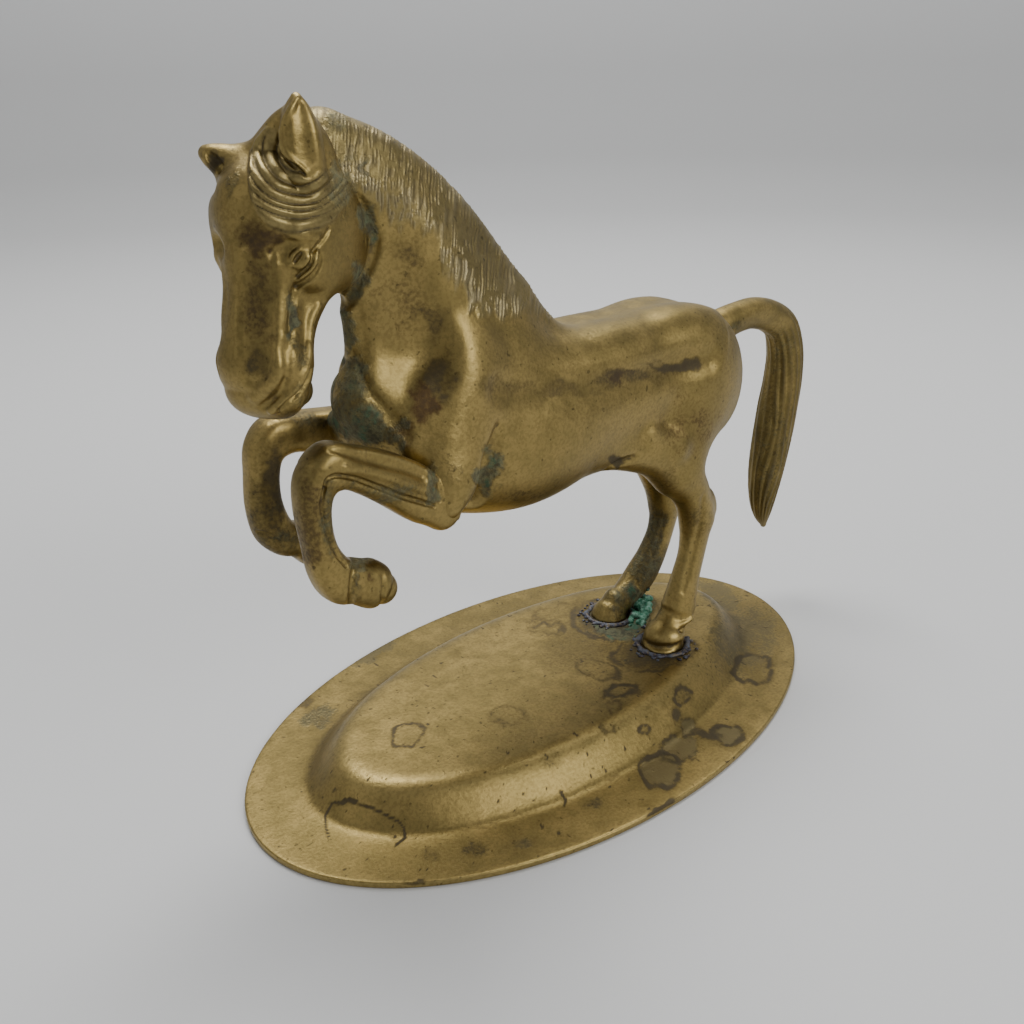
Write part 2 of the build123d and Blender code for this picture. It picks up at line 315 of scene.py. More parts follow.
def body_clay():
    c = Clay((-60, -20.5, 7), (63, 15.5, 134), STEP)
    # barrel, chest to rump: above, below, half width
    c.limb([
        (-43.6, 83.2, 8, 8, 7, 0.4), (-38.6, 80.2, 13.2, 12.6, 10.4), (-29, 76, 17, 17.6, 13),
        (-16, 73, 17.2, 17.2, 13.5), (-2, 72.3, 15.9, 16, 13.3), (12, 73, 14.4, 15.2, 12.9),
        (25, 74.2, 13.6, 14.4, 12.6), (37, 73.2, 13.7, 14, 12.6), (45.6, 71.8, 11.2, 11.6, 10.6),
        (50.2, 71.4, 7.6, 8, 8),
    ], 1.0, 2.15, y=M)
    # neck muscle: throat side, crest side, half width
    c.limb([
        (-16, 78, 21, 16, 10.5), (-24.8, 86.5, 21.5, 18.5, 10.6), (-31.2, 96.4, 17.6, 15.6, 9.6),
        (-37.4, 106.6, 13.4, 13.2, 8.5), (-45.2, 114.2, 11.4, 12.2, 7.6), (-52.5, 118.6, 9.4, 10.5, 7, 0.6),
    ], 5.0, y=M)
    # crest of the neck, under the mane
    c.limb([
        (0.6, 83, 5, 3.4, 3.4), (-4.6, 88.4, 6, 2.9, 3.8), (-10.4, 94.4, 6.5, 3.1, 4),
        (-16.6, 101.6, 6.5, 3.3, 4), (-22.4, 108.6, 6.5, 3.3, 4), (-28.6, 114.8, 6.5, 3.2, 4.2),
        (-35.6, 120.2, 6.5, 2.9, 4.4), (-43, 124.4, 6, 2.7, 4.6), (-50, 126.6, 6, 3.4, 5, 0.4),
    ], 3.5, y=M)
    for s in (-1, 1):  # the horse's left, then its right
        # shoulder and upper arm
        c.blob((-32.5, M + s * 6.6, 82.0), (9.0, 7.4, 14.0), 4.0, 14)
        c.blob((-38.0, M + s * 8.2, 80.0), (7.6, 4.6, 10.5), 2.5, 10)
        end = 0.0 if s < 0 else 6.4
        c.limb([
            (-31, 86, 7, 8, 4.4, s * 6.8), (-33.6, 76, 6.6, 7.8, 5.2, s * 9.4),
            (-36.6, 69.0 + 0.3 * end, 4.5, 6.6, 5.2, s * 10.7), (-39, 64.6 + end, 2.8, 4.2, 4.2, s * 11),
            (-39.8, 62.6 + end, 1.8, 2, 3, s * 11),
        ], 2.0, y=M)
        # breast
        c.blob((-41.6, M + s * 3.0, 81.6), (5.6, 4.4, 7.6), 4.0, 8)
        # loin, hip and buttock
        c.blob((8.0, M + s * 5.6, 80.7), (26.0, 6.2, 6.6), 4.0)
        c.blob((33.6, M + s * 6.0, 79.5), (14.0, 6.8, 8.0), 4.0, 6)
        c.blob((39.3, M + s * 6.2, 68.0), (13.5, 7.2, 13.0), 4.0, 12)
        # belly
        c.blob((-12.0, M + s * 5.2, 68.7), (20.0, 8.6, 11.8), 5.0)
        # fold from the flank down to the stifle
        back = 0.0 if s < 0 else 5.0
        c.rope([
            (3, M + s * 6.6, 63.6, 4.6), (13.5, M + s * 7.8, 60.6, 4.6),
            (21.6 + 0.5 * back, M + s * 8.4, 57, 4.6), (27.6 + back, M + s * 8.6, 51, 4.2),
        ], 3.0)
    # lower breast, running into the root of the right foreleg
    c.limb([
        (-37, 74, 5, 6, 5, 1.5), (-42.5, 76, 4.6, 5, 5.2, 4.5),
        (-46.4, 77, 3, 3.4, 3.6, 8.5),
    ], 4.0, y=M)
    c.blob((-42.6, M + 3.0, 75.6), (6.0, 4.6, 5.4), 4.0)
    # left hind leg
    left, right = -9.9, 8.6
    c.limb([
        (37, 72, 12, 13.5, 6.4, -7.4), (32, 60, 9, 10.2, 5.8, -8.4),
        (31.4, 51.6, 5.4, 6.2, 4.7, -9.4), (34.6, 44.6, 4.6, 4.8, 4, left),
        (37, 38.6, 4.4, 4.7, 3.7, left),
    ], 3.0, y=M)
    c.limb([
        (36.8, 41.4, 3.6, 4.2, 3.4), (36.7, 37, 4, 4.3, 3.5), (35.6, 30.2, 3.8, 3.5, 2.9),
        (33.8, 24, 3.6, 3.9, 3.1), (32.4, 19.2, 3.8, 4.4, 3.6), (31.4, 16, 3.9, 4.6, 3.9),
        (29.2, 13.2, 3, 3.2, 3.2), (28, 11.6, 3.2, 3.2, 3.1),
    ], 1.2, y=M + left)
    c.blob((40.6, M + left, 41.0), (2.0, 2.2, 4.4), 1.6, -16)
    # right hind leg
    c.limb([
        (37, 72, 12, 13.5, 6.4, 7), (36, 60, 9, 10.2, 5.6, 7.8),
        (40.6, 49, 6.4, 5.4, 4.6, 8.3), (45.4, 40, 5.4, 4.4, 3.9, right),
        (47.6, 34, 5, 4.4, 3.6, right),
    ], 3.0, y=M)
    c.limb([
        (47.6, 37, 4.2, 4, 3.3), (48, 32.6, 4.6, 4.2, 3.4), (46.6, 26, 4, 3.8, 3),
        (43.4, 20.2, 4.1, 4.1, 3.3), (40, 16.4, 4.3, 4.4, 3.7), (36.2, 13.6, 3.9, 4, 3.6),
        (33, 11.8, 3.4, 3.6, 3.4), (30.4, 10.8, 3.2, 3.2, 3.3),
    ], 1.2, y=M + right)
    c.blob((50.6, M + right, 37.0), (2.0, 2.0, 4.0), 1.6, -20)
    # hooves
    for (hx, hy), h in zip(HOOVES, (0.0, 1.0)):
        c.limb([
            (hx + 2.2, 12.9 - 1.2 * h, 3.5 - 0.2 * h, 3.6 - 0.3 * h, 3.5 - 0.3 * h),
            (hx + 1.3, 11.6 - 1.2 * h, 4.3 - 0.4 * h, 4.2 - 0.5 * h, 4.1 - 0.5 * h),
            (hx + 0.3, 9.6 - 0.5 * h, 4.9 - 0.3 * h, 4.8 - 0.4 * h, 4.7 - 0.4 * h), (hx, 7.4, 5.2, 5, 5),
        ], 0.6, 2.2, y=hy)
    # left foot: rounded cap over the hoof, and the rim the fetlock ends in
    c.blob((HOOVES[0][0] + 0.3, HOOVES[0][1] - 0.3, 11.6), (4.5, 4.9, 3.2), 0.6)
    for x, wide, z, r, k, dig in ((31.0, 4.0, 14.9, 0.6, 0.8, False), (29.6, 4.1, 13.5, 0.5, 0.6, True)):
        c.rope([(x + 4.3 * math.cos(t), M + left - 0.1 + wide * math.sin(t), z + 1.1 * math.cos(t), r)
                for t in np.linspace(0.45 * math.pi, 1.55 * math.pi, 11)], k, dig)
    # valley between back and barrel, deepest at the hip
    for s in (-1, 1):
        c.rope([
            (-27, M + s * 15.3, 83.9, 2), (-16, M + s * 16.2, 81.5, 3.2),
            (-4, M + s * 16.4, 79.6, 3.4), (9, M + s * 16, 78, 3.3), (18, M + s * 15.4, 78, 3.2),
            (26, M + s * 15.2, 77.8, 3.1), (33, M + s * 15.4, 77.4, 2),
        ], 3.0, dig=True)
    # behind the elbow, and the shoulder's front edge down to it
    c.groove([(100, 85.6, 1, -0.7), (99.8, 89.2, 2.2, -1.6), (98.8, 92.8, 3, -2.2),
              (97.2, 97.2, 3, -2.2), (94.8, 101.4, 2.4, -1.8)], 0.8, 0, M)
    # smooth run from thigh to flank, and the sharp fold under it
    c.ridge([(129.6, 86.8, 2.2), (132.4, 88.2, 2.6), (135.2, 89.4, 2.2)], 3, 1.4, M)
    c.groove([(120.8, 94.2, 0.5), (122.8, 93.2, 1.1), (125, 92.4, 1), (127.2, 91.4, 0.5)], 0.8, -0.1, M)
    c.groove([(71.2, 72.4, 0.3), (72.2, 74.8, 0.7), (73.6, 78, 0.8), (76, 81.2, 0.9), (78.8, 84.8, 0.9),
              (80.8, 87.6, 0.8)], 0.7, -0.1, M)
    # hollows of the neck and in front of the shoulder
    c.groove([(79.2, 48, 4, -3.4), (80.8, 54.4, 5.5, -4.7), (82.4, 60, 6, -5.2),
              (84, 64.8, 6, -5.5)], 7, 0, M)
    c.groove([(84.8, 71.2, 4, -3.4), (85.6, 75.2, 6, -4.7), (85.2, 79.6, 6, -4.7),
              (84, 84, 4, -3.4)], 6, 0, M)
    # throat
    c.ridge([(69.6, 61.2, 1.2), (70.4, 64.4, 1.4), (71, 68, 1.4), (71.6, 70.8, 1)], 1.5, 0.7, M)
    # cleft behind the cheek
    c.groove([(70.4, 38.4, 0.6), (72.4, 41.2, 1), (74, 44.4, 1.1), (75, 48.6, 1.2), (74, 52.8, 1.2),
              (71.4, 57.2, 1.2), (68.6, 60.8, 1)], 0.9, 0.1, M)
    # lengthwise grooves of the hind cannons, sinew behind
    c.groove([(140.6, 99.4, 0.3), (140.2, 104, 0.45), (138.8, 109.6, 0.5), (137.6, 115, 0.5),
              (136.6, 118.4, 0.3)], 0.8, -0.05)
    c.groove([(132.8, 104, 0.3), (131.4, 109, 0.4), (129, 113.6, 0.4), (127, 117, 0.3)], 0.8, -0.05)
    # crease low round the front of the left hoof
    c.groove([(129, 128.2, 0.3), (130, 129, 0.6), (131.4, 129.5, 0.75), (133, 129.6, 0.8),
              (134.6, 129.4, 0.7), (136, 128.6, 0.4)], 0.5, 0.1)
    c.soften(1)
    # hooves end flat on the base
    cut, x, y, z = c.window((-60, -21, 6), (63, 16, 14))
    c.field[cut] = np.maximum(c.field[cut], FLOOR_Z - z + 0 * x + 0 * y)
    return c


LEFT_UPPER = [
    (-40.2, 64.4, 3.7, 4, 3.4), (-44, 68.1, 4.8, 4.8, 3.5), (-51, 72.9, 4.1, 4.7, 3.5),
    (-57.6, 76.4, 3.2, 4.1, 3.4), (-61.8, 78, 3.2, 3.6, 3.3),
]
LEFT_LOWER = [
    (-61.2, 78.4, 3.4, 3.4, 3.3), (-64, 76.4, 3.4, 3.6, 3.3), (-65.1, 72, 2.6, 3, 3),
    (-64.7, 66, 2.4, 2.8, 2.8), (-63.5, 61.4, 3.1, 3.5, 3.1), (-61.4, 58.2, 3.7, 4.1, 3.5),
    (-58.6, 56.8, 3.7, 3.8, 3.4),
]
LEFT_HOOF = [
    (-58.8, 57, 3.3, 3.2, 3.3), (-57, 55.8, 4.3, 4, 3.8), (-54.9, 54.6, 4.1, 4, 3.9),
    (-53.9, 53.9, 3, 3, 3.3),
]
RIGHT_UPPER = [
    (-37.5, 72, 4, 4.4, 3.4), (-42.4, 74.2, 4.4, 4.6, 3.8), (-49, 76, 3.9, 3.9, 3.5),
    (-54.8, 77, 3.4, 3.6, 3.3), (-58.8, 77.2, 3.3, 3.3, 3.2),
]
RIGHT_LOWER = [
    (-58, 77.6, 3.2, 3.2, 3.2), (-60.8, 75.6, 3.4, 3.4, 3.2), (-62, 71, 3, 2.9, 3),
    (-62.1, 65.6, 3, 3.3, 2.9), (-61, 60.8, 3.2, 3.7, 3.1), (-59.2, 58, 3.4, 3.3, 3.2),
    (-57.2, 57, 3.2, 2.8, 3.1),
]
RIGHT_HOOF = [
    (-57.4, 57, 3, 2.8, 3.1), (-55.6, 55.9, 3.6, 3.3, 3.6), (-53.2, 54.2, 3.7, 3.7, 3.8),
    (-51.4, 53.2, 2.5, 2.5, 2.9),
]


def foreleg_clay(upper, lower, hoof, y):
    rows = upper + lower + hoof
    xs, zs = [p[0] for p in rows], [p[1] for p in rows]
    c = Clay((min(xs) - 7, y - 6.5, min(zs) - 7), (max(xs) + 7, y + 6.5, max(zs) + 7), FINE)
    for part, k, n in ((upper, 1.0, 3.3), (lower, 1.6, 2.7), (hoof, 0.9, 2.3)):
        c.limb(part, k, n, y)
    return c


def left_foreleg_clay():
    c = foreleg_clay(LEFT_UPPER, LEFT_LOWER, LEFT_HOOF, M - 11.1)
    # channel below the flat top, crack along the side, and the same down the cannon
    c.groove([(66.4, 90, 0.2), (70.4, 90.8, 0.7), (74.4, 91.8, 0.9), (78, 92.8, 0.9), (81.2, 93.6, 0.9),
              (84.8, 95.2, 0.8)], 0.9, -0.05)
    c.groove([(64.8, 98, 0.3), (65.6, 95.8, 0.4), (68, 95.2, 0.45), (71.2, 95.8, 0.5), (74.4, 97, 0.5),
              (77.6, 98.2, 0.5), (80.6, 99.4, 0.5), (84, 100.4, 0.5), (86.8, 101.2, 0.4)], 0.3, 0.12)
    c.ridge([(69, 93.6, 0.5), (74, 94.4, 0.7), (79.6, 96.2, 0.7), (85, 98.2, 0.5)], 0.8, 0.3)
    c.groove([(64.8, 97.6, 0.3), (64.4, 100.4, 0.35), (64.6, 103, 0.4), (65.2, 105.8, 0.4),
              (66.2, 108.4, 0.4), (67.6, 111.2, 0.4), (69.2, 113.2, 0.3)], 0.3, 0.05)
    # creases round the fetlock and across the hoof
    c.groove([(71.2, 110.4, 0.5), (71, 113.2, 0.5), (70.6, 116, 0.5), (70.4, 118.4, 0.5),
              (70.2, 120.8, 0.5)], 0.7, -0.05)
    c.groove([(76.6, 115.2, 0.2), (76.8, 117.2, 0.3), (76.6, 119.6, 0.35), (76.2, 121.4, 0.3)], 0.6, -0.05)
    # elbow crease
    c.groove([(86, 92.8, 0.3), (87.4, 95.4, 0.45), (88, 97.8, 0.45), (88, 100, 0.3)], 0.9, -0.05)
    return c


def right_foreleg_clay():
    c = foreleg_clay(RIGHT_UPPER, RIGHT_LOWER, RIGHT_HOOF, M + 10.5)
    c.groove([(51.6, 106.4, 0.3), (53.2, 106.8, 0.4), (55.2, 108, 0.4), (56.4, 109.6, 0.4)], 0.5)
    return c


TAIL_LINE = [
    (50, 77.4, 4.4, 4.6, 4), (56, 79.2, 3.8, 4.2, 3.7), (62, 80.6, 2.8, 4.6, 3.5),
    (68.5, 80.8, 2.6, 5, 3.6), (75.2, 78.6, 3.2, 4.9, 3.8), (80.6, 74.4, 4.2, 4.6, 4.1),
    (83.4, 67.4, 4.9, 4.7, 4.4), (83.6, 60, 5.2, 5.2, 4.7), (82.2, 52, 5.5, 5.5, 4.9),
    (80.8, 44, 5.4, 5.4, 4.8), (79.5, 36, 4.9, 4.9, 4.4), (78.8, 29, 3.8, 3.8, 3.6),
    (79.2, 23.5, 2.4, 2.4, 2.4), (80.4, 19.6, 0.8, 0.8, 0.8),
]


def tail_clay():
    c = Clay((45, -10, 15), (93, 5, 88), FINE * 1.2)
    c.limb(TAIL_LINE, 1.0, y=M)
    return c


# ---------------------------------------------------------------- head
HEAD_AT, HEAD_TURN = (-59.2, -3.0), 25.0


def head_clay():
    """In the head's own frame: -x ahead, -y the horse's left, from the head's axis."""
    c = Clay((-18, -14, 83), (16, 15, 136), FINE, HEAD_AT, HEAD_TURN)
    # skull: rows give x, z, half depth behind, half depth ahead, half width, y
    c.limb([
        (0.8, 118.6, 7.5, 7.9, 8.5, 0.8), (0.4, 116.2, 9.2, 9.8, 9.2, 0.9), (0, 111.5, 9, 9.2, 8.7, 0.5),
        (-1.5, 105.5, 6.4, 7.4, 6.6), (-3.5, 101, 3.4, 5, 4.8),
    ], 1.0, 2.4)
    c.rope([(0.5, -4.5, 124.3, 3), (-1, 0.5, 122.6, 3.2), (-1.6, 4, 121.2, 3.3)], 2)
    c.rope([(-2.2, -5, 130.2, 1.2), (-2, -3, 128.5, 1.8), (-1.9, -0.8, 126.3, 2.1),
            (-1.8, 1.6, 124.2, 2.1), (-1.8, 4.2, 122.4, 2.3)], 1.2)
    # nose, forehead to nostrils
    c.limb([
        (-4.2, 118, 5, 6, 6.6), (-4.6, 110.5, 5, 6, 6.3), (-5.6, 104.5, 5, 5.6, 5.8),
        (-6.8, 99.5, 4.6, 5.8, 6.3), (-7.6, 95.2, 4.6, 6.2, 7.6, 0.1), (-7.9, 92.8, 4.5, 5.9, 7.4, 0.1),
        (-8.1, 90.6, 4.3, 4.9, 6.8, 0.1),
    ], 1.5, 2.5)
    for s in (-1, 1):
        # cheek
        c.blob((2.6, s * 6.6, 111.6), (10.0, 3.2, 8.2), 1.5, power=2.3)
        c.blob((3.4, s * 6.4, 116.5), (7.0, 3.0, 7.0), 2.0)
        # jaw, running down to the lips
        c.rope([
            (-0.4, s * 5.8, 105.2, 2.4), (-3.4, s * 5, 100.8, 2), (-5.3, s * 4.6, 96.5, 2),
            (-6.2, s * 4.2, 93.4, 2), (-7.2, s * 3.4, 91.2, 1.9), (-8.6, s * 1.8, 89.8, 1.6),
        ], 1.2)
    # underside of the jaw, and the chin behind the lips
    c.limb([
        (-1.6, 103, 2.6, 3, 3.8), (-4.2, 97, 2.4, 3, 3.4), (-5.8, 91.5, 2.4, 3, 3.2),
    ], 1.5)
    c.blob((-0.9, 0.0, 88.2), (2.5, 2.9, 2.8), 0.3)
    c.rope([(-0.9, 0, 89, 2.3), (-2.2, 0, 93, 2.4)], 0.8)
    c.soften(1)
    middle = 0.0
    # groove from the eye down the face, and the mouth it runs into
    c.groove([(59.4, 56.8, 0.4), (58.8, 59.4, 0.8), (58, 63, 0.95), (57.6, 66.4, 1), (57.3, 70, 0.9),
              (57.2, 73.2, 0.8), (57, 75.6, 0.7)], 0.7, -0.15, middle)
    c.groove([(56.8, 76, 0.7), (55.8, 78, 0.9), (54.2, 80, 0.9), (52.4, 81.6, 0.7)], 0.6, -0.42)
    # ridge along the jaw that curls in as the lower lip
    c.ridge([(63.6, 61.2, 0.5), (62.2, 64, 0.7), (61.7, 67.2, 0.75), (61.6, 70.4, 0.75)], 0.5, 0.3, middle)
    c.ridge([(61.6, 69, 0.4), (61.6, 70.8, 0.7), (61.3, 72.6, 0.75), (60.6, 74.6, 0.8), (59.2, 77.2, 0.8),
             (56.6, 80.2, 0.8), (54.4, 82.2, 0.6)], 0.5, 0.3)
    c.groove([(62.2, 74, 0.3), (61.4, 76.2, 0.5), (59.8, 78.4, 0.6), (57.8, 80.4, 0.5),
              (56, 82, 0.35)], 0.3, 0.12)
    # raised edges beside the sunken front of the nose
    c.ridge([(57.6, 52.4, 0.5), (56.6, 55, 0.9), (56.2, 58.4, 1), (56, 64, 1),
             (56.2, 68, 0.7)], 1.1, 0.75, middle)
    c.ridge([(56.2, 67.6, 0.7), (56.2, 70.4, 0.9), (55.6, 74, 1), (53.8, 77.4, 1),
             (51.2, 79, 0.8)], 1.2, 0.85)
    # brow, the hollow inside it, and the fold behind the eye
    c.ridge([(57.6, 47.8, 0.5), (59.2, 47.2, 0.8), (61.2, 47.2, 0.8), (63.2, 47.4, 0.6)], 0.6, 0.35)
    c.blob((-5.0, 7.4, 110.0), (1.9, 1.2, 1.5), 0.6)
    c.groove([(55.8, 50.4, 1.3), (57, 49.4, 1.3), (58.4, 49.4, 1)], 1, -0.55, middle)
    # eye: ball, lid in front of it, slit, rim below and the folds round it
    c.ridge([(60, 52.4, 1.2), (61.2, 51.6, 1.3)], 0.5, 0.72)
    c.ridge([(59.8, 50, 0.4), (58.8, 51.2, 0.5), (58.2, 52.8, 0.45)], 0.4, 0.15)
    c.groove([(60.2, 50.6, 0.28), (59.5, 51.4, 0.38), (58.9, 52.4, 0.3)], 0.15, 0.06)
    c.ridge([(63, 49.8, 0.4), (63.2, 50.8, 0.5), (62.9, 52.2, 0.55), (62.1, 53.6, 0.55), (60.7, 54.9, 0.5),
             (59.4, 56, 0.45)], 0.2, 0.05)
    c.groove([(62.3, 50.6, 0.26), (62.4, 52.1, 0.34), (61.7, 53.4, 0.36), (60.6, 54.3, 0.34),
              (59.4, 55.4, 0.3)], 0.12)
    c.groove([(64.1, 51, 0.36), (64, 52.8, 0.5), (62.8, 55, 0.55), (61.1, 56.3, 0.5),
              (59.3, 57.4, 0.5)], 0.3)
    c.groove([(62.6, 50.2, 0.3), (64.1, 48.5, 0.36), (65.2, 47.1, 0.36), (65.8, 45.8, 0.3)], 0.3, 0.02)
    ears(c)
    return c


def ears(c):
    # near ear: a leaf with a thick front rim, a shallow cup and a full root
    c.rope([(-1.6, -6, 120.5, 3.2), (-2.6, -6.7, 123.5, 3.2), (-2.8, -6.8, 127, 2.9),
            (-2.8, -6.6, 129.8, 2.1), (-3, -6.7, 132, 0.85)], 0.8)
    c.rope([(3.5, -5.6, 121, 2.6), (2.2, -6, 124.5, 2.6), (0.4, -6.4, 128, 1.6)], 1.5)
    c.groove([(60, 21, 0.4, 0.1), (60.6, 23.6, 1.6, -1.05), (61, 26.4, 2.4, -1.75),
              (61.4, 29.2, 2.6, -1.9), (61.8, 31.6, 2, -1.4)], 0.9)
    c.ridge([(59.4, 19.6, 0.35), (58.1, 22, 0.55), (57.1, 24.2, 0.65), (56.7, 26.4, 0.65),
             (56.8, 28.8, 0.65), (57.6, 30.8, 0.65), (59.2, 33, 0.6), (61.2, 34.6, 0.5)], 0.3, 0.15)
    c.groove([(55.2, 30.4, 0.3), (56.4, 31.6, 0.6), (57.8, 33, 0.75), (59.4, 34.2, 0.65),
              (60.8, 35.2, 0.4)], 0.4)
    # far ear, leaning out to the side, its hollow turned down
    c.rope([(-2.2, 3.5, 121.8, 3.6), (-3.2, 6, 123.2, 2.7), (-4, 7.8, 124.1, 1.9),
            (-4.2, 8.9, 124.6, 1.3)], 1.2)
    c.groove([(41.6, 30.8, 0.5, 0.1), (42.6, 32, 0.9, 0.3), (43.8, 33.4, 0.9, 0.2)], 0.4)


# ---------------------------------------------------------------- meshes
def mesh_object(name, points, quads):
    mesh = bpy.data.meshes.new(name)
    n = len(quads)
    mesh.vertices.add(len(points))
    mesh.vertices.foreach_set("co", (points * MM).astype(np.float32).ravel())
    mesh.loops.add(4 * n)
    mesh.loops.foreach_set("vertex_index", quads.astype(np.int32).ravel())
    mesh.polygons.add(n)
    mesh.polygons.foreach_set("loop_start", np.arange(0, 4 * n, 4, dtype=np.int32))
    mesh.update(calc_edges=True)
    mesh.validate()
    mesh.polygons.foreach_set("use_smooth", np.ones(n, bool))
    obj = bpy.data.objects.new(name, mesh)
    bpy.context.scene.collection.objects.link(obj)
    return obj


def points_of(mesh):
    p = np.zeros(len(mesh.vertices) * 3, np.float32)
    mesh.vertices.foreach_get("co", p)
    return p.reshape(-1, 3).astype(float) / MM


def normals_of(mesh):
    p = np.zeros(len(mesh.vertices) * 3, np.float32)
    mesh.vertex_normals.foreach_get("vector", p)
    return p.reshape(-1, 3).astype(float)


def raise_by(mesh, height):
    p = points_of(mesh) + normals_of(mesh) * height[:, None]
    mesh.vertices.foreach_set("co", (p * MM).astype(np.float32).ravel())
    mesh.update()


def smoothed(mesh, values, times):
    e = np.zeros(len(mesh.edges) * 2, np.int32)
    mesh.edges.foreach_get("vertices", e)
    a, b = e[0::2], e[1::2]
    n = len(mesh.vertices)
    count = np.bincount(a, minlength=n) + np.bincount(b, minlength=n)
    v = values.astype(float)
    flat = v.reshape(n, -1)
    for _ in range(times):
        out = np.empty_like(flat)
        for j in range(flat.shape[1]):
            out[:, j] = np.bincount(a, flat[b, j], n) + np.bincount(b, flat[a, j], n)
        flat = 0.4 * flat + 0.6 * out / np.maximum(count, 1)[:, None]
    return flat.reshape(v.shape)


def set_mark(mesh, name, values):
    layer = mesh.attributes.get(name) or mesh.attributes.new(name, "FLOAT", "POINT")
    layer.data.foreach_set("value", np.clip(values, 0, 1).astype(np.float32))


def hollows(mesh, times):
    """Depth below the surroundings, mm, positive in hollows."""
    p = points_of(mesh)
    return ((smoothed(mesh, p, times) - p) * normals_of(mesh)).sum(1)


def refine(obj, wanted):
    """Split the faces whose corners are all wanted into four."""
    mesh = obj.data
    bm = bmesh.new()
    bm.from_mesh(mesh)
    bm.verts.ensure_lookup_table()
    keep = {i for i in np.nonzero(wanted)[0].tolist()}
    edges = [e for e in bm.edges if e.verts[0].index in keep and e.verts[1].index in keep]
    bmesh.ops.subdivide_edges(bm, edges=edges, cuts=1, use_grid_fill=True)
    bm.to_mesh(mesh)
    bm.free()
    mesh.update()
    mesh.polygons.foreach_set("use_smooth", np.ones(len(mesh.polygons), bool))


def path_distance(u, v, path):
    """How far points of a plane are from a path of straight runs."""
    d = np.full(u.shape, 1e9)
    for (ax, ay), (bx, by) in zip(path, path[1:]):
        ex, ey = bx - ax, by - ay
        t = np.clip(((u - ax) * ex + (v - ay) * ey) / (ex * ex + ey * ey), 0, 1)
        d = np.minimum(d, np.hypot(u - ax - t * ex, v - ay - t * ey))
    return d


def inside_by(u, v, outline):
    """Signed distance into a closed outline, positive inside."""
    closed = outline + outline[:1]
    inside = np.zeros(u.shape, bool)
    for (ax, ay), (bx, by) in zip(closed, closed[1:]):
        if ay != by:
            inside ^= ((ay > v) != (by > v)) & (u < (bx - ax) * (v - ay) / (by - ay) + ax)
    d = path_distance(u, v, closed)
    return np.where(inside, d, -d)


# outline of the mane in the middle plane: lower edge from the poll back, then the crest
MANE = [
    (-56, 119), (-49.8, 117.6), (-45.1, 115.4), (-41, 112.6), (-37.3, 110.4), (-35.4, 107.2), (-33.1, 105),
    (-31.8, 102.5), (-30.2, 99.6), (-27.6, 96), (-22.2, 94.2), (-15.2, 94.4), (-10, 93.4), (-4, 91.2),
    (0.5, 90), (3, 92), (-10, 106), (-30, 124), (-46, 134), (-60, 136),
]


FINE_CUT, WIDE_CUT = 0.66, 1.66  # mm on the pane between the mane's cuts
RIGHT_START = 74.2  # where the right side's pattern starts, so that it isn't the left's
HAIR_DEPTH, CUT_DEPTH = 0.18, 0.12  # mm


def hair_edge(depth):
    return ease(depth, -0.4, 1.6)


def hair_tips(depth):
    return np.exp(-((depth - 2.2) / 3.6) ** 2)


def mane_height(p):
    """How far the mane stands out, how deep in it each point is, and how much it is cut or raised there."""
    x, z = p[:, 0], p[:, 2]
    left = p[:, 1] < M
    u, v, _ = picture(np.stack([x, np.where(left, p[:, 1], 2 * M - p[:, 1]), z], 1))
    u = u + np.where(left, 0.0, RIGHT_START) + 0.05 * v
    u = u + 0.8 * (grain(u / 8, v / 12, 1) - 0.5) + 0.64 * (grain(u / 2.2, v / 3, 13) - 0.5)
    lock = (grain(u, v / 18, 3) - 0.5) * 3.4 + (grain(u / 3.4, v / 18, 5) - 0.5) * 3.0
    depth = inside_by(x, z, MANE) + lock
    top = np.exp(-((p[:, 1] - M) / 3.0) ** 2)
    tips = CUT_DEPTH * hair_tips(depth)
    band = hair_edge(depth) * ease(-x, -1.0, 3.5)
    i = np.floor(u / FINE_CUT)
    cut = 1 - np.abs(2 * (u / FINE_CUT - i) - 1)
    dash = ease(grain(i * 7.3, v / 1.4 + 5.0 * grain(i, i, 2), 11), 0.42, 0.72)
    w = u / WIDE_CUT + 0.37
    j = np.floor(w)
    wide = 1 - np.abs(2 * (w - j) - 1)
    dash2 = ease(grain(j * 3.9, v / 2.4 + 5.0 * grain(j, j, 7), 21), 0.35, 0.75)
    calm = 1 - 0.8 * top
    strands = (0.55 - cut) * dash * (0.17 + tips) + (0.5 - wide) * dash2 * (0.13 + tips)
    grooves = np.maximum(cut * dash, wide * dash2)
    ridges = np.maximum((1 - cut) * dash, (1 - wide) * dash2)
    return band * (HAIR_DEPTH + calm * strands), depth, band * grooves, band * ridges


# as seen on the pane: the near ear, the forelock, and the sunken front of the nose
EAR = [
    (59.4, 18.4), (57.8, 20.8), (56.6, 24), (56, 26.8), (56.2, 29.6), (57.6, 32), (60.4, 34.8), (62.8, 34.8),
    (64.6, 32.8), (64.8, 28.8), (63.6, 24.4), (61.6, 20),
]
LOCKS = [
    (53.2, 25), (51.2, 27.6), (50, 30.4), (49.6, 33.6), (49.6, 37.2), (50.2, 40.4), (51.4, 43), (53.6, 45.6),
    (56.8, 47), (60.4, 47.2), (63.6, 46.4), (66.6, 44.8), (69, 42), (70.4, 38.8), (70.4, 36.4), (67.6, 34.4),
    (64.4, 33.6), (62, 35.2), (59.2, 33.6), (56.8, 30.8), (56, 28), (56, 25.6),
]
NOSE_PANEL = [
    (48.2, 50), (51.6, 49.2), (54.8, 50), (55.2, 58), (55, 66), (54.6, 72), (53.6, 76), (51.2, 77.4),
    (49, 76.8), (48, 73.6), (47.6, 66), (47.6, 58),
]
PANEL_DEPTH = 0.42
EAR_ROOT = (60, 30)  # the strands sweep round it
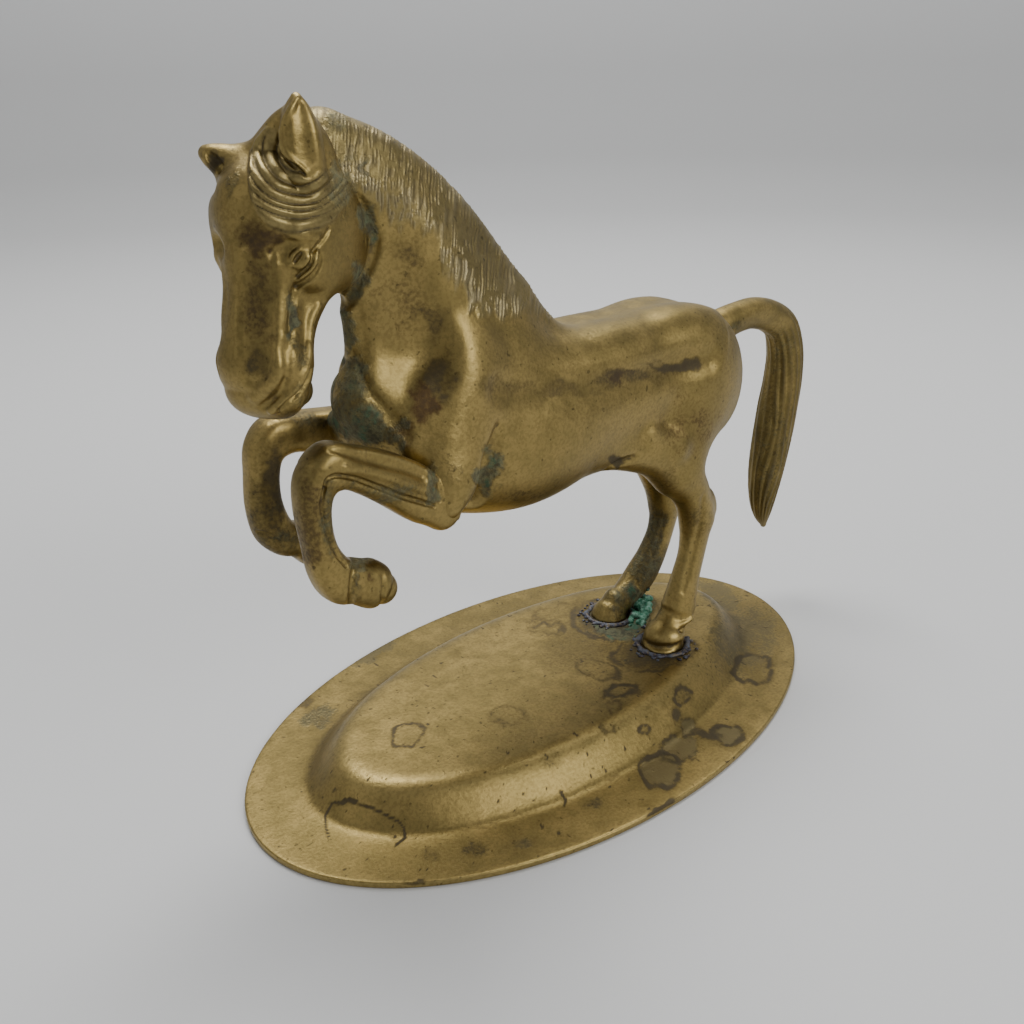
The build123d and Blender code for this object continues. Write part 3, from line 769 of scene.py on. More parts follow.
STRAND_EDGES = (2.0, 4.4, 7.2, 9.2, 11.2, 12.4, 14.0, 16.4, 19.2)  # mm from the root of the ear


def forelock_height(p, face):
    """Strands swept round under the near ear, laid out as seen from the viewing point."""
    u, v, _ = picture(p)
    x, y = u - EAR_ROOT[0], v - EAR_ROOT[1]
    r = np.hypot(x, y) + 0.6 * (grain(u / 4.8, v / 3.6, 2) - 0.5) + 0.08 * np.clip(x, 0, 12)
    n = np.interp(r, STRAND_EDGES, np.arange(len(STRAND_EDGES)))
    f = n - np.floor(n)
    strand = np.sin(np.pi * f) ** 0.55
    fill = inside_by(u, v, LOCKS)
    region = ease(fill, -0.2, 0.9) * face * ease(-inside_by(u, v, EAR), -0.3, 0.2)
    strength = ease(v, 23.6, 30.4) * (1 - 0.45 * ease(u, 61, 66))
    strength = strength * (0.75 + 0.5 * grain(np.floor(n) * 3.1, np.arctan2(y, x) * 2.2, 4))
    split = np.exp(-((grain(r / 0.84, np.arctan2(y, x) * 1.2, 8) - 0.5) / 0.1) ** 2) * 0.25
    edge = 0.35 * np.exp(-((fill - 0.6) / 0.6) ** 2) * ease(55 - u, 0, 3) * ease(41 - v, 0, 3)
    h = region * (0.05 + strength * (0.48 * strand - 0.12 * split) + edge)
    return h, region, region * strength * np.clip(1.1 - 1.5 * strand, 0, 1)


STRANDS = 17  # round the tail


def tail_height(p):
    """How far the tail's strands stand out, and how deep the cuts between them are."""
    s = spline([r + (M,) for r in TAIL_LINE])
    u = Clay.along(p[:, 0], p[:, 2], s)[0]
    turn = np.arctan2(p[:, 1] - M, u)
    run = ease(-(p[:, 2] - 76.0) + 0.6 * (p[:, 0] - 70), 0, 10)
    tip = ease(p[:, 2], 18.5, 28)
    k = turn / (2 * np.pi) * STRANDS + 0.5 * np.sin(p[:, 2] / 9.0)
    k = k + 0.8 * (grain(turn * 1.5, p[:, 2] / 12, 6) - 0.5)
    f = k - np.floor(k)
    cut = 1 - np.abs(2 * f - 1)
    deep = 0.25 + 0.75 * grain(np.floor(k) * 5.7, p[:, 2] / 9, 9)
    return run * tip * (cut - 0.6) * 0.42 * deep, run * cut * deep


def piece(obj, nodes):
    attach(obj, "root")
    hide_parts(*nodes)
    return obj


def sculpture(name, clay, nodes):
    return piece(mesh_object(name, *clay.surface()), nodes)


def halved(obj, names, nodes):
    """Cut at the middle plane into a left and a right casting, each closed."""
    out = []
    for name, node, side in zip(names, nodes, (-1, 1)):
        bm = bmesh.new()
        bm.from_mesh(obj.data)
        geom = bm.verts[:] + bm.edges[:] + bm.faces[:]
        cut = bmesh.ops.bisect_plane(
            bm, geom=geom, plane_co=(0, M * MM, 0), plane_no=(0, side, 0), clear_inner=True, dist=1e-7)
        rim = [e for e in cut["geom_cut"] if isinstance(e, bmesh.types.BMEdge) and e.is_boundary]
        for e in rim:
            e.smooth = False
        caps = bmesh.ops.holes_fill(bm, edges=rim, sides=0)["faces"]
        for f in caps:
            f.smooth = False
        bmesh.ops.recalc_face_normals(bm, faces=bm.faces)
        mesh = bpy.data.meshes.new(name)
        bm.to_mesh(mesh)
        bm.free()
        half = bpy.data.objects.new(name, mesh)
        bpy.context.scene.collection.objects.link(half)
        out.append(piece(half, [node]))
    bpy.data.objects.remove(obj)
    return out


# ---------------------------------------------------------------- the pieces
body = mesh_object("body", *body_clay().surface())
p = points_of(body.data)
refine(body, (inside_by(p[:, 0], p[:, 2], MANE) > -2.5) & (p[:, 2] > 84) & (p[:, 0] < 6))
p = points_of(body.data)
mane, mane_depth, groove, ridge = mane_height(p)
raise_by(body.data, mane)
set_mark(body.data, "cut", 0.8 * groove)
set_mark(body.data, "fleck", ridge * hair_tips(mane_depth))
set_mark(body.data, "hair", hair_edge(mane_depth))

left_leg = sculpture("left_foreleg_casting", left_foreleg_clay(), ["left_foreleg"])
right_leg = sculpture("right_foreleg_casting", right_foreleg_clay(), ["right_foreleg"])
tail = sculpture("tail_casting", tail_clay(), ["tail"])
h, cut = tail_height(points_of(tail.data))
raise_by(tail.data, h)
set_mark(tail.data, "cut", cut)
head = sculpture("head_casting", head_clay(), ["head"])
p, nrm = points_of(head.data), normals_of(head.data)
facing = ease(-(nrm * (p - EYE)).sum(1) / np.linalg.norm(p - EYE, axis=1), 0.0, 0.25)
h, lock, lock_cut = forelock_height(p, facing)
u, v, _ = picture(p)
panel = inside_by(u, v, NOSE_PANEL) * facing
raise_by(head.data, h - PANEL_DEPTH * ease(panel, -0.6, 0.8))
set_mark(head.data, "cut", lock_cut)
set_mark(head.data, "hair", lock)

# valley: broad hollows, which the material darkens as patina and as painted shade; crevice: fine hollows
for o in (body, left_leg, right_leg, tail, head):
    fine, broad = hollows(o.data, 6), hollows(o.data, 60)
    set_mark(o.data, "crevice", ease(fine, 0.01, 0.12))
    set_mark(o.data, "valley", ease(broad, 0.05, 0.7))
    set_mark(o.data, "worn", ease(-broad, 0.05, 0.6))
body_left, body_right = halved(
    body, ("body_left_casting", "body_right_casting"), ("body_left_half", "body_right_half"))

# ---------------------------------------------------------------- base
HALF_L, HALF_W = 75.0, 45.5


def base_profile():
    """Top: how far in from the edge, z. Beyond the last the rings close in on the centre."""
    top = spline([
        (0, 0.3), (0, 1), (0.12, 1.28), (0.45, 1.4), (1.4, 1.42), (4, 1.38), (8, 1.38),
        (10.6, 1.44), (12.2, 1.6), (13.3, 2), (14.3, 2.8), (15.6, 4.1), (17, 5.6), (18.1, 6.7),
        (19.3, 7.6), (20.8, 8.2), (22.6, 8.46), (25, 8.5),
    ], 4)
    under = [
        (0.25, 0), (7, 0), (14.6, 0), (15.3, 0.3), (16.2, 1.3), (18.6, 3.9), (20.9, 6.3), (21.8, 6.8),
        (23, 6.9),
    ]
    return top, under


def base_mesh():
    top, under = base_profile()
    seg, inner = ((1100, 96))
    rings = [(HALF_L - t, HALF_W - t, z) for t, z in reversed(under)]
    rings += [(HALF_L - t, HALF_W - t, z) for t, z in top]
    a0, b0, z0 = rings[-1]
    rings += [(a0 * k, b0 * k, z0) for k in np.linspace(1, 0.012, inner)[1:]]
    t = np.linspace(0, 2 * np.pi, seg, endpoint=False)
    pts = np.concatenate([np.stack([a * np.cos(t), b * np.sin(t), np.full(seg, z)], 1) for a, b, z in rings])
    n = len(rings)
    i, j = np.meshgrid(np.arange(n - 1), np.arange(seg), indexing="ij")
    k = (j + 1) % seg
    quads = np.stack([i * seg + j, i * seg + k, (i + 1) * seg + k, (i + 1) * seg + j], -1).reshape(-1, 4)
    obj = mesh_object("base_plate", pts, quads)
    bm = bmesh.new()
    bm.from_mesh(obj.data)
    bmesh.ops.holes_fill(bm, edges=[e for e in bm.edges if e.is_boundary], sides=0)
    bmesh.ops.recalc_face_normals(bm, faces=bm.faces)
    bm.to_mesh(obj.data)
    bm.free()
    return obj


# stains on the base as seen on the pane: u, v, half width, half height, tilt,
# then the strength of ring, fill, film and green
STAINS = [
    (81.6, 147, 3.2, 2.2, -18, 0.55, 0.12, 0, 0), (102, 143, 3.2, 1.8, 0, 0.30, 0.12, 0, 0),
    (124.4, 138.2, 2.8, 1.2, -6, 0.85, 0.10, 0, 0), (122.8, 141.4, 1.4, 1, 0, 0.35, 0, 0, 0),
    (119.6, 133.8, 4.4, 1.6, 14, 0.40, 0.10, 0, 0), (109.6, 125.8, 2.6, 1, 0, 0.40, 0.10, 0, 0),
    (150.4, 133.8, 4, 2.8, 8, 0.75, 0.12, 0.1, 0), (136.6, 139.2, 1.6, 1.8, 10, 0.75, 0.30, 0.2, 0),
    (129.2, 145.8, 1.2, 1, 0, 0.65, 0.10, 0, 0.1), (121.6, 145.8, 1.4, 1, 0, 0.35, 0.05, 0, 0),
    (132, 154.2, 4.2, 3.4, 0, 0.95, 0.05, 0.75, 0.05), (135.6, 149.8, 4, 2.8, -20, 0.45, 0.05, 0.7, 0.05),
    (145.4, 147, 3.2, 2, 4, 0.70, 0.05, 0.8, 0.1), (137.6, 145.6, 1.6, 1.4, 0, 0.45, 0, 0.7, 0.2),
    (141.2, 147.2, 2.8, 1, 12, 0.35, 0.75, 0, 0), (135.2, 143, 1.2, 1.8, -30, 0.2, 0.7, 0, 0),
    (63.4, 143.4, 4, 2.4, -14, 0, 0.25, 0.5, 0.35), (60.8, 140.8, 2, 1, -35, 0, 0.55, 0.1, 0.1),
    (75.2, 130, 6, 1.8, -32, 0, 0.10, 0.5, 0), (86, 171, 1.8, 1.8, 0, 0, 0.30, 0.2, 0),
    (95.2, 170, 2.8, 1.6, 0, 0, 0.35, 0.3, 0), (105, 168.6, 3.6, 1.4, -8, 0, 0.20, 0.3, 0),
    (118.4, 160.6, 2.4, 1.6, -10, 0, 0.30, 0.3, 0), (110.6, 152, 2.4, 1.8, -20, 0, 0.22, 0.1, 0),
    (118, 128, 12, 5.2, -20, 0, 0.30, 0, 0), (121.8, 124, 7.6, 3.8, 4, 0.55, 0.72, 0, 0.3),
    (130.8, 130.4, 8, 3.4, -6, 0.45, 0.55, 0.2, 0.15), (149, 128, 8, 8, 0, 0, 0.10, 0.35, 0),
    (132.8, 161.4, 3.2, 1, -28, 0, 1, 0, 0), (83.2, 176.6, 2.4, 0.8, 4, 0, 0.5, 0, 0),
    (69, 160.4, 2.6, 0.6, 0, 0, 1, 0, 0), (112, 122.4, 5.2, 1.4, -14, 0.3, 0.12, 0, 0),
    (144, 119.2, 6, 2.4, 30, 0, 0, 0.4, 0),
]
LINES = [
    [(66.4, 160.6), (69, 160.2), (71.6, 160.6)],
    [(71.6, 160.6), (74.4, 161.6), (77.2, 163), (79.6, 164.2), (80.8, 165.6), (81, 167.6), (79.2, 169)],
    [(66.4, 160.8), (65, 163.2), (65.2, 165.6), (65.8, 167.2)],
    [(112, 158.4), (113.2, 160), (112.8, 161.2)],
]
VERDIGRIS_PATH = [(119.6, 124.8), (122.6, 126.4), (126, 126.8), (128.2, 123.2), (130, 120.8)]


def stain_base(mesh):
    p = points_of(mesh)
    u, v, _ = picture(p)
    top = ease(p[:, 2], 0.6, 1.2) * (normals_of(mesh)[:, 2] > -0.2)
    wu = u + 1.4 * (grain(u / 2.2, v / 1.8, 1) - 0.5) + 0.6 * (grain(u / 0.8, v / 0.8, 2) - 0.5)
    wv = v + 1.2 * (grain(u / 2, v / 2, 3) - 0.5) + 0.6 * (grain(u / 0.8, v / 0.8, 4) - 0.5)
    dark, film, green = (np.zeros(len(p)) for _ in range(3))
    for cu, cv, ru, rv, tilt, ring, fill, pale, verd in STAINS:
        a = math.radians(tilt)
        du, dv = wu - cu, wv - cv
        r = np.hypot((du * math.cos(a) + dv * math.sin(a)) / ru, (dv * math.cos(a) - du * math.sin(a)) / rv)
        away = (r - 1) * min(ru, rv)
        soft = ease(-away, -0.25 * min(ru, rv), 0.45 * min(ru, rv))
        broken = 0.6 + 0.9 * grain(np.arctan2(dv, du) * 1.6, 5 * cu + 0 * u, 5)
        dark = np.maximum(dark, ring * broken * np.exp(-(away / 0.42) ** 2))
        dark = np.maximum(dark, fill * soft)
        film = np.maximum(film, pale * soft)
        green = np.maximum(green, verd * soft)
    for path in LINES:
        dark = np.maximum(dark, np.exp(-(path_distance(u, v, path) / 0.24) ** 2))
    verdigris = ease(-path_distance(wu, wv, VERDIGRIS_PATH), -2, -0.6)
    green = np.maximum(green, 0.95 * verdigris)
    pits = ease(grain(p[:, 0] / 0.9, p[:, 1] / 0.9, 31), 0.93, 0.97)
    dark = np.maximum(dark, 0.75 * pits)
    set_mark(mesh, "dark", np.clip(1.3 * dark, 0, 1) * top)
    set_mark(mesh, "film", film * top)
    set_mark(mesh, "green", green * top)
    raise_by(mesh, (0.05 * (grain(p[:, 0] / 7, p[:, 1] / 7, 41) - 0.5) - 0.05 * (dark > 0.9)) * top)


base_plate = piece(base_mesh(), ["base"])
stain_base(base_plate.data)
# the base's hollows, darkened in the material as patina and as painted shade
depth = hollows(base_plate.data, 40)
set_mark(base_plate.data, "valley", ease(depth, 0.03, 0.35))
set_mark(base_plate.data, "worn", ease(-depth, 0.02, 0.25))


BEAD, CRUMBS, LUMPS = 5.7, 90, 7  # radius of the ring of solder in mm, crumbs round it, blobs in a lump


def solder_clay(hx, hy, seed, crust=()):
    """A wobbly ring of solder with crumbs, and lumps of crust, all resting on the base."""
    c = Clay((hx - 11, hy - 11, 6.5), (hx + 11, hy + 11, 13.5), FINE)
    rng = np.random.default_rng(seed)
    t = np.linspace(0, 2 * math.pi, 37)
    wobble = rng.uniform(-0.3, 0.3, 36)
    wobble = np.append(wobble, wobble[0])
    c.rope([(hx + (BEAD + w) * math.cos(a), hy + (BEAD + w) * math.sin(a), FLOOR_Z + 0.05, 0.6 + 0.5 * w)
            for a, w in zip(t, wobble)], 0.4)
    for _ in range(CRUMBS):
        a = rng.uniform(0, 2 * math.pi)
        r = 5.2 + 3.0 * rng.uniform(0, 1) ** 2
        q = rng.uniform(0.2, 0.55)
        radii = (q, q * rng.uniform(0.7, 1.3), q * 0.7)
        c.blob((hx + r * math.cos(a), hy + r * math.sin(a), FLOOR_Z + 0.1), radii, 0.35)
    for x, y, z, r in crust:
        for _ in range(LUMPS):
            d = rng.normal(0, 0.45, 3) * r
            q = r * rng.uniform(0.4, 0.75)
            radii = (q, q * rng.uniform(0.7, 1.3), q * rng.uniform(0.7, 1.1))
            c.blob((x + d[0], y + d[1], z + 0.5 * d[2]), radii, 0.3)
    cut, x, y, z = c.window((hx - 11, hy - 11, 6), (hx + 11, hy + 11, 14))
    c.field[cut] = np.maximum(c.field[cut], FLOOR_Z - 0.02 - z + 0 * x + 0 * y)
    return c


# lumps of verdigris between the hooves: x, y, z, radius
CRUST = [
    (34.5, 1, 9, 1.5), (36, 2.2, 9.8, 1.6), (33, 0.2, 8.8, 1.3), (37.2, 3, 11, 1.5), (35, 3, 10, 1.6),
    (31.8, -1.2, 8.7, 1.2), (30.2, -2.6, 8.6, 1), (38.4, 3.4, 13, 1.2), (32, 1.4, 8.8, 1.3),
    (29.6, -4.2, 8.5, 0.9),
]
solder = [
    sculpture("left_hoof_solder_bead", solder_clay(*HOOVES[0], 4), ["left_hoof_solder"]),
    sculpture("right_hoof_solder_bead", solder_clay(*HOOVES[1], 9, CRUST), ["right_hoof_solder"])]

# ---------------------------------------------------------------- patina, and painted shade
# as seen on the pane: u, v, half width, half height, strength of dark and, where there is any, green and red.
# The dark is patina, and it is also painted shade in the rows for the flank's valley, the neck's hollow in
# front of the shoulder, the shoulder's hollow, the forehead under the forelock, inside the far hind cannon
# and under the near forearm
PATINA_AND_SHADE_SPOTS = [
    # the first four rows darken the valley along the flank: painted shade laid with patina
    (100, 77.2, 6.8, 2.4, 0.40), (112, 78, 10, 2.4, 0.44, 0, 0.05), (125, 75.8, 8.8, 2.2, 0.56, 0, 0.1),
    (135.2, 73.4, 6, 1.8, 0.9, 0, 0.2), (61.6, 104, 3.4, 13.2, 0.45, 0, 0.4),
    (80.4, 60, 9.2, 12, 0.28, 0, 0.12), (128, 121, 3.6, 5.2, 0.4, 1), (127.2, 125.6, 2.4, 1.6, 0.2, 1),
    (42.6, 32.2, 1.8, 2, 1), (124, 92.8, 2.4, 1, 0.95, 0.1), (46.4, 32, 4.4, 3.2, 0.2, 0, 0.1),
    (53.6, 104, 5.2, 12, 0.55, 0.2, 0.2), (70.4, 89.6, 12, 1.8, 0, 0.2), (131, 109, 2.4, 12, 0.75, 0.5),
    (51.6, 60, 4.4, 12, 0.45, 0, 0.35), (52.4, 48, 5.2, 4, 0.55, 0, 0.65),
    (51.6, 72, 4, 5.2, 0.55, 0.15, 0.2), (58.4, 63, 1.4, 6, 0.5, 0.75), (59.4, 70.4, 1.8, 5.2, 0.45, 0.35),
    (43, 32.2, 1.8, 2.2, 0.95), (46.4, 37, 1.6, 3.2, 0.35, 0.45), (68, 37, 3.2, 8, 0.1, 0.55),
    (67, 24, 4.4, 4.4, 0, 0.45), (73.2, 33.6, 1.2, 3.2, 0, 0.6), (60.8, 79.2, 2.4, 2.8, 0.1, 0.35, 0.1),
    (54.4, 80, 2, 2.4, 0.2, 0, 0.3), (73.6, 45, 1.8, 6, 0.5, 0.75), (71.6, 57, 2.8, 4, 0.5, 0.7),
    (69, 66, 2.8, 6.8, 0.45, 0.75), (70, 77, 4.4, 7.2, 0.35, 0.8), (73.2, 85, 8, 5.2, 0.45, 0.85),
    (69, 81.6, 3.6, 4.4, 0.5, 0.6), (79, 86, 2.8, 4, 0.6, 0.6), (81.2, 50, 5.2, 4.4, 0.35, 0, 0.1),
    (86.4, 64, 4.4, 4.4, 0.55, 0.1), (88, 75.6, 4, 5.2, 0.75, 0, 0.1), (84.8, 81.6, 4, 5.2, 0.5, 0, 0.9),
    (80.8, 86.4, 2.4, 2.8, 0.3, 0, 0.6), (86.4, 97.6, 1.6, 4.4, 0.4, 0.75), (97.8, 93.6, 2.8, 6.8, 0.35, 0.8),
    (76, 98.8, 10, 3.2, 0.35, 0.5), (65.6, 104, 2.4, 10, 0.4, 0.45), (71.2, 112, 3.6, 2, 0.25, 0.7),
    (70.8, 116, 1.2, 4.8, 0.4, 0.5), (74.4, 115.6, 2, 2.4, 0.35, 0, 0.5), (55, 96, 2.8, 10, 0.8, 0.1, 0.1),
    # (128, 75.2) at the end of this line and the first three of the next darken the flank's valley too:
    # painted shade laid with patina
    (60, 84, 8, 2.4, 0.6, 0.3), (58, 109, 3.2, 3.2, 0.6, 0.4), (128, 75.2, 12, 1.6, 0.35, 0, 0.2),
    (135, 73.6, 5.6, 1.8, 0.7, 0, 0.25), (104, 78.4, 8, 2.8, 0.25, 0, 0.1), (124, 76.2, 1, 1.8, 0.6, 0, 0.6),
    (138, 85, 7.2, 8, 0.25, 0, 0.3), (131, 96, 4, 4, 0.3), (129.2, 112, 4.4, 10, 0.65, 0.45),
    (128, 120, 5.2, 4, 0.6, 0.9), (140, 104, 2.4, 6, 0.3, 0.1), (123, 120, 3.2, 4, 0.4, 0.3),
    (147, 65, 2, 2.4, 0.5, 0.4), (157, 70, 4.4, 6, 0.1, 0.35), (154, 88, 5.2, 16, 0.2, 0.3),
    (108, 99.6, 12, 2.4, 0.3, 0, 0.2), (90.4, 94, 2, 6.8, 0.1, 0.15, 0.1),
]


def lay_patina_and_shade(mesh, matched=False):
    """Patina, with painted shade in shaded places, as it shows from the viewing point; matched: the trunk's
    right side repeats its left.
    """
    p = points_of(mesh)
    mirror = p.copy()
    if matched:
        mirror[:, 1] = np.where((p[:, 1] > M + 2.0) & (p[:, 2] > 54), 2 * M - p[:, 1], p[:, 1])
    u, v, _ = picture(mirror)
    wu = u + 3.2 * (grain(u / 3.4, v / 2.8, 1) - 0.5) + 1.4 * (grain(u / 1.2, v / 1.2, 2) - 0.5)
    wv = v + 3.2 * (grain(u / 3, v / 3, 3) - 0.5) + 1.4 * (grain(u / 1.2, v / 1.2, 4) - 0.5)
    out = {k: np.zeros(len(p)) for k in ("dark", "green", "red")}
    for cu, cv, ru, rv, *strengths in PATINA_AND_SHADE_SPOTS:
        r = np.hypot((wu - cu) / ru, (wv - cv) / rv)
        soft = ease(1.15 - r, 0.0, 0.8)
        for k, w in zip(out, strengths):
            out[k] = np.maximum(out[k], w * soft)
    for k, values in out.items():
        set_mark(mesh, k, values)


for o in [body_left, body_right, left_leg, right_leg, tail, head] + solder:
    lay_patina_and_shade(o.data, o in (body_left, body_right))

# ---------------------------------------------------------------- materials


class Nodes:
    """A material's node tree, put together by short calls."""

    def __init__(self, name):
        self.mat = bpy.data.materials.new(name)
        self.mat.use_nodes = True
        self.tree = self.mat.node_tree
        self.shader = self.tree.nodes["Principled BSDF"]
        self.place = self.add("ShaderNodeTexCoord").outputs["Object"]

    def add(self, kind, **settings):
        n = self.tree.nodes.new(kind)
        for k, v in settings.items():
            setattr(n, k, v)
        return n

    def feed(self, socket, value):
        if isinstance(value, bpy.types.NodeSocket):
            self.tree.links.new(value, socket)
        else:
            socket.default_value = value

    def noise(self, scale, detail=3.0, rough=0.55, stretch=None):
        n = self.add("ShaderNodeTexNoise")
        where = self.place
        if stretch:
            m = self.add("ShaderNodeMapping")
            m.inputs["Scale"].default_value = stretch
            self.feed(m.inputs["Vector"], self.place)
            where = m.outputs["Vector"]
        self.feed(n.inputs["Vector"], where)
        n.inputs["Scale"].default_value = scale
        n.inputs["Detail"].default_value = detail
        n.inputs["Roughness"].default_value = rough
        return n.outputs["Fac"]

    def mark(self, name):
        return self.add("ShaderNodeAttribute", attribute_name=name).outputs["Fac"]

    def math(self, op, a, b=0.0, clamp=False):
        n = self.add("ShaderNodeMath", operation=op, use_clamp=clamp)
        self.feed(n.inputs[0], a)
        self.feed(n.inputs[1], b)
        return n.outputs[0]

    def span(self, value, a, b, c=0.0, d=1.0):
        n = self.add("ShaderNodeMapRange", interpolation_type="SMOOTHSTEP")
        self.feed(n.inputs["Value"], value)
        for key, v in zip(("From Min", "From Max", "To Min", "To Max"), (a, b, c, d)):
            n.inputs[key].default_value = v
        return n.outputs["Result"]

    def mix(self, amount, a, b):
        n = self.add("ShaderNodeMix", data_type="RGBA")
        self.feed(n.inputs[0], amount)
        for socket, v in ((n.inputs[6], a), (n.inputs[7], b)):
            self.feed(socket, v if isinstance(v, bpy.types.NodeSocket) else tuple(v) + (1,))
        return n.outputs[2]

    def bump(self, parts):
        normal = None
        for height, strength, distance in parts:
            n = self.add("ShaderNodeBump")
            n.inputs["Strength"].default_value = strength
            n.inputs["Distance"].default_value = distance
            self.feed(n.inputs["Height"], height)
            if normal:
                self.feed(n.inputs["Normal"], normal)
            normal = n.outputs["Normal"]
        self.feed(self.shader.inputs["Normal"], normal)


BRIGHT = (0.33, 0.243, 0.086)
BURNISHED = (0.50, 0.39, 0.155)
OLIVE = (0.18, 0.137, 0.046)
PEAT = (0.12, 0.084, 0.032)
BROWN = (0.045, 0.034, 0.018)
MAROON = (0.10, 0.045, 0.024)
FILM = (0.165, 0.135, 0.065)
HAIR = (0.215, 0.185, 0.092)
RUBBED = (0.50, 0.43, 0.27)
VERDIGRIS = (0.03, 0.12, 0.07)
CRUST_BROWN, CRUST_GREY = (0.045, 0.048, 0.026), (0.115, 0.120, 0.060)


def brass(name, tarnish, rough):
    n = Nodes(name)
    broad, mid, fine = n.noise(48, 4), n.noise(240, 5, 0.62), n.noise(1500, 3)
    blotch = n.math("ADD", n.math("MULTIPLY", broad, 0.55), n.math("MULTIPLY", mid, 0.45))
    tone = n.span(blotch, 0.38 + 0.08 * tarnish, 0.64, 1.0, 0.0)
    colour = n.mix(n.math("MULTIPLY", tone, 0.55 + 0.3 * tarnish), BRIGHT, OLIVE)
    colour = n.mix(n.math("MULTIPLY", n.mark("worn"), 0.35), colour, BURNISHED)
    colour = n.mix(n.math("MULTIPLY", n.mark("hair"), 0.4), colour, HAIR)
    ragged = n.math("ADD", n.math("MULTIPLY", mid, 1.1), n.math("MULTIPLY", fine, 0.7))

    def over(mark, reach, sharp=0.8):
        edge = n.math("ADD", mark, n.math("SUBTRACT", ragged, 0.9))
        shown = n.math("MULTIPLY", n.span(edge, 0.12, 0.12 + sharp), reach)
        return n.math("MULTIPLY", shown, n.span(mark, 0.0, 0.12))

    # broad hollows go toward BROWN: patina in them, and painted shade
    valley = over(n.mark("valley"), 0.55)
    crevice = over(n.mark("crevice"), 0.85)
    hair = n.math("MULTIPLY", n.mark("cut"), 0.8, True)
    hollow_patina_and_shade = n.math("MAXIMUM", n.math("MAXIMUM", valley, crevice), hair)
    dark = over(n.mark("dark"), 0.9)
    colour = n.mix(n.span(fine, 0.42, 0.62, 0.0, 0.30), colour, PEAT)
    # hollows and cuts darkened toward BROWN: patina, and in the broad hollows painted shade
    colour = n.mix(n.math("MULTIPLY", hollow_patina_and_shade, 0.9), colour, BROWN)
    colour = n.mix(over(n.mark("film"), 0.85, 0.3), colour, FILM)
    colour = n.mix(over(n.mark("red"), 0.75), colour, MAROON)
    # the dark mark darkens smoothly toward BROWN: painted shade where it marks shaded places, patina and
    # stains elsewhere
    colour = n.mix(n.math("MULTIPLY", n.mark("dark"), 0.62, True), colour, BROWN)
    colour = n.mix(n.math("MULTIPLY", dark, 0.8), colour, BROWN)
    green = over(n.mark("green"), 0.95)
    teal = n.math("MULTIPLY", n.span(n.noise(420, 3), 0.48, 0.66), n.span(n.mark("green"), 0.55, 0.95))
    crust = n.mix(n.span(n.noise(800, 4, 0.65), 0.40, 0.58), CRUST_BROWN, CRUST_GREY)
    colour = n.mix(n.math("MULTIPLY", green, 0.85), colour, n.mix(teal, crust, VERDIGRIS))
    specks = n.span(n.noise(900, 1.0), 0.70, 0.76)
    colour = n.mix(n.math("MULTIPLY", specks, 0.55), colour, BROWN)
    colour = n.mix(n.math("MULTIPLY", n.mark("fleck"), 0.45), colour, RUBBED)
    n.feed(n.shader.inputs["Base Color"], colour)
    patina = n.math("MAXIMUM", n.math("MULTIPLY", hollow_patina_and_shade, 0.7), green)
    patina = n.math("MAXIMUM", patina, n.math("MULTIPLY", dark, 0.6), True)
    n.feed(n.shader.inputs["Metallic"], n.span(patina, 0.1, 1.0, 1.0, 0.25))
    worn = n.math("ADD", n.math("MULTIPLY", mid, 0.22), rough - 0.11)
    n.feed(n.shader.inputs["Roughness"], n.math("ADD", worn, n.math("MULTIPLY", patina, 0.35), True))
    n.bump([
        (mid, 0.25, 0.0004), (fine, 0.30, 0.00012),
        (n.noise(300, 4, 0.7, (1, 1, 6)), 0.15, 0.0002),
        (n.math("MULTIPLY", green, n.noise(1300, 2)), 0.6, 0.0005),
    ])
    return n.mat


def plain(name, colour, spot, metallic, rough):
    n = Nodes(name)
    n.feed(n.shader.inputs["Base Color"], n.mix(n.span(n.noise(700, 4), 0.42, 0.62), colour, spot))
    n.shader.inputs["Metallic"].default_value = metallic
    n.feed(n.shader.inputs["Roughness"], n.span(n.noise(400, 3), 0.3, 0.7, rough - 0.1, rough + 0.15))
    n.bump([(n.noise(900, 4), 0.5, 0.0003)])
    return n.mat


def crusted_solder():
    n = Nodes("solder")
    blotch, fine = n.noise(520, 4, 0.65), n.noise(1400, 3)
    colour = n.mix(n.span(blotch, 0.42, 0.6), (0.030, 0.026, 0.038), (0.11, 0.12, 0.145))
    colour = n.mix(n.math("MULTIPLY", n.span(fine, 0.5, 0.64), 0.6), colour, (0.17, 0.125, 0.055))
    edge = n.math("ADD", n.mark("green"), n.math("SUBTRACT", blotch, 0.5))
    bloom = n.mix(n.span(fine, 0.4, 0.65), (0.02, 0.14, 0.075), (0.16, 0.33, 0.24))
    colour = n.mix(n.span(edge, 0.3, 0.6), colour, bloom)
    n.feed(n.shader.inputs["Base Color"], colour)
    n.feed(n.shader.inputs["Metallic"], n.span(edge, 0.2, 0.5, 0.55, 0.0))
    n.feed(n.shader.inputs["Roughness"], n.span(blotch, 0.3, 0.7, 0.35, 0.7))
    n.bump([(blotch, 0.7, 0.0005), (fine, 0.5, 0.0002)])
    return n.mat


horse_brass = brass("horse_brass", 0.1, 0.43)
tail_brass = brass("tail_brass", 0.9, 0.50)
base_brass = brass("base_brass", 0.25, 0.43)
solder_metal = crusted_solder()
steel = plain("fixing_steel", (0.32, 0.31, 0.30), (0.14, 0.11, 0.08), 0.9, 0.45)
for material, pieces in (
        (horse_brass, (body_left, body_right, left_leg, right_leg, head)), (tail_brass, (tail,)),
        (base_brass, (base_plate,)), (solder_metal, solder)):
    for o in pieces:
        o.data.materials.append(material)
for name in ("hoof_screws", "hoof_screw_washers"):
    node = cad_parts[name]
    node.data.materials.clear()
    node.data.materials.append(steel)

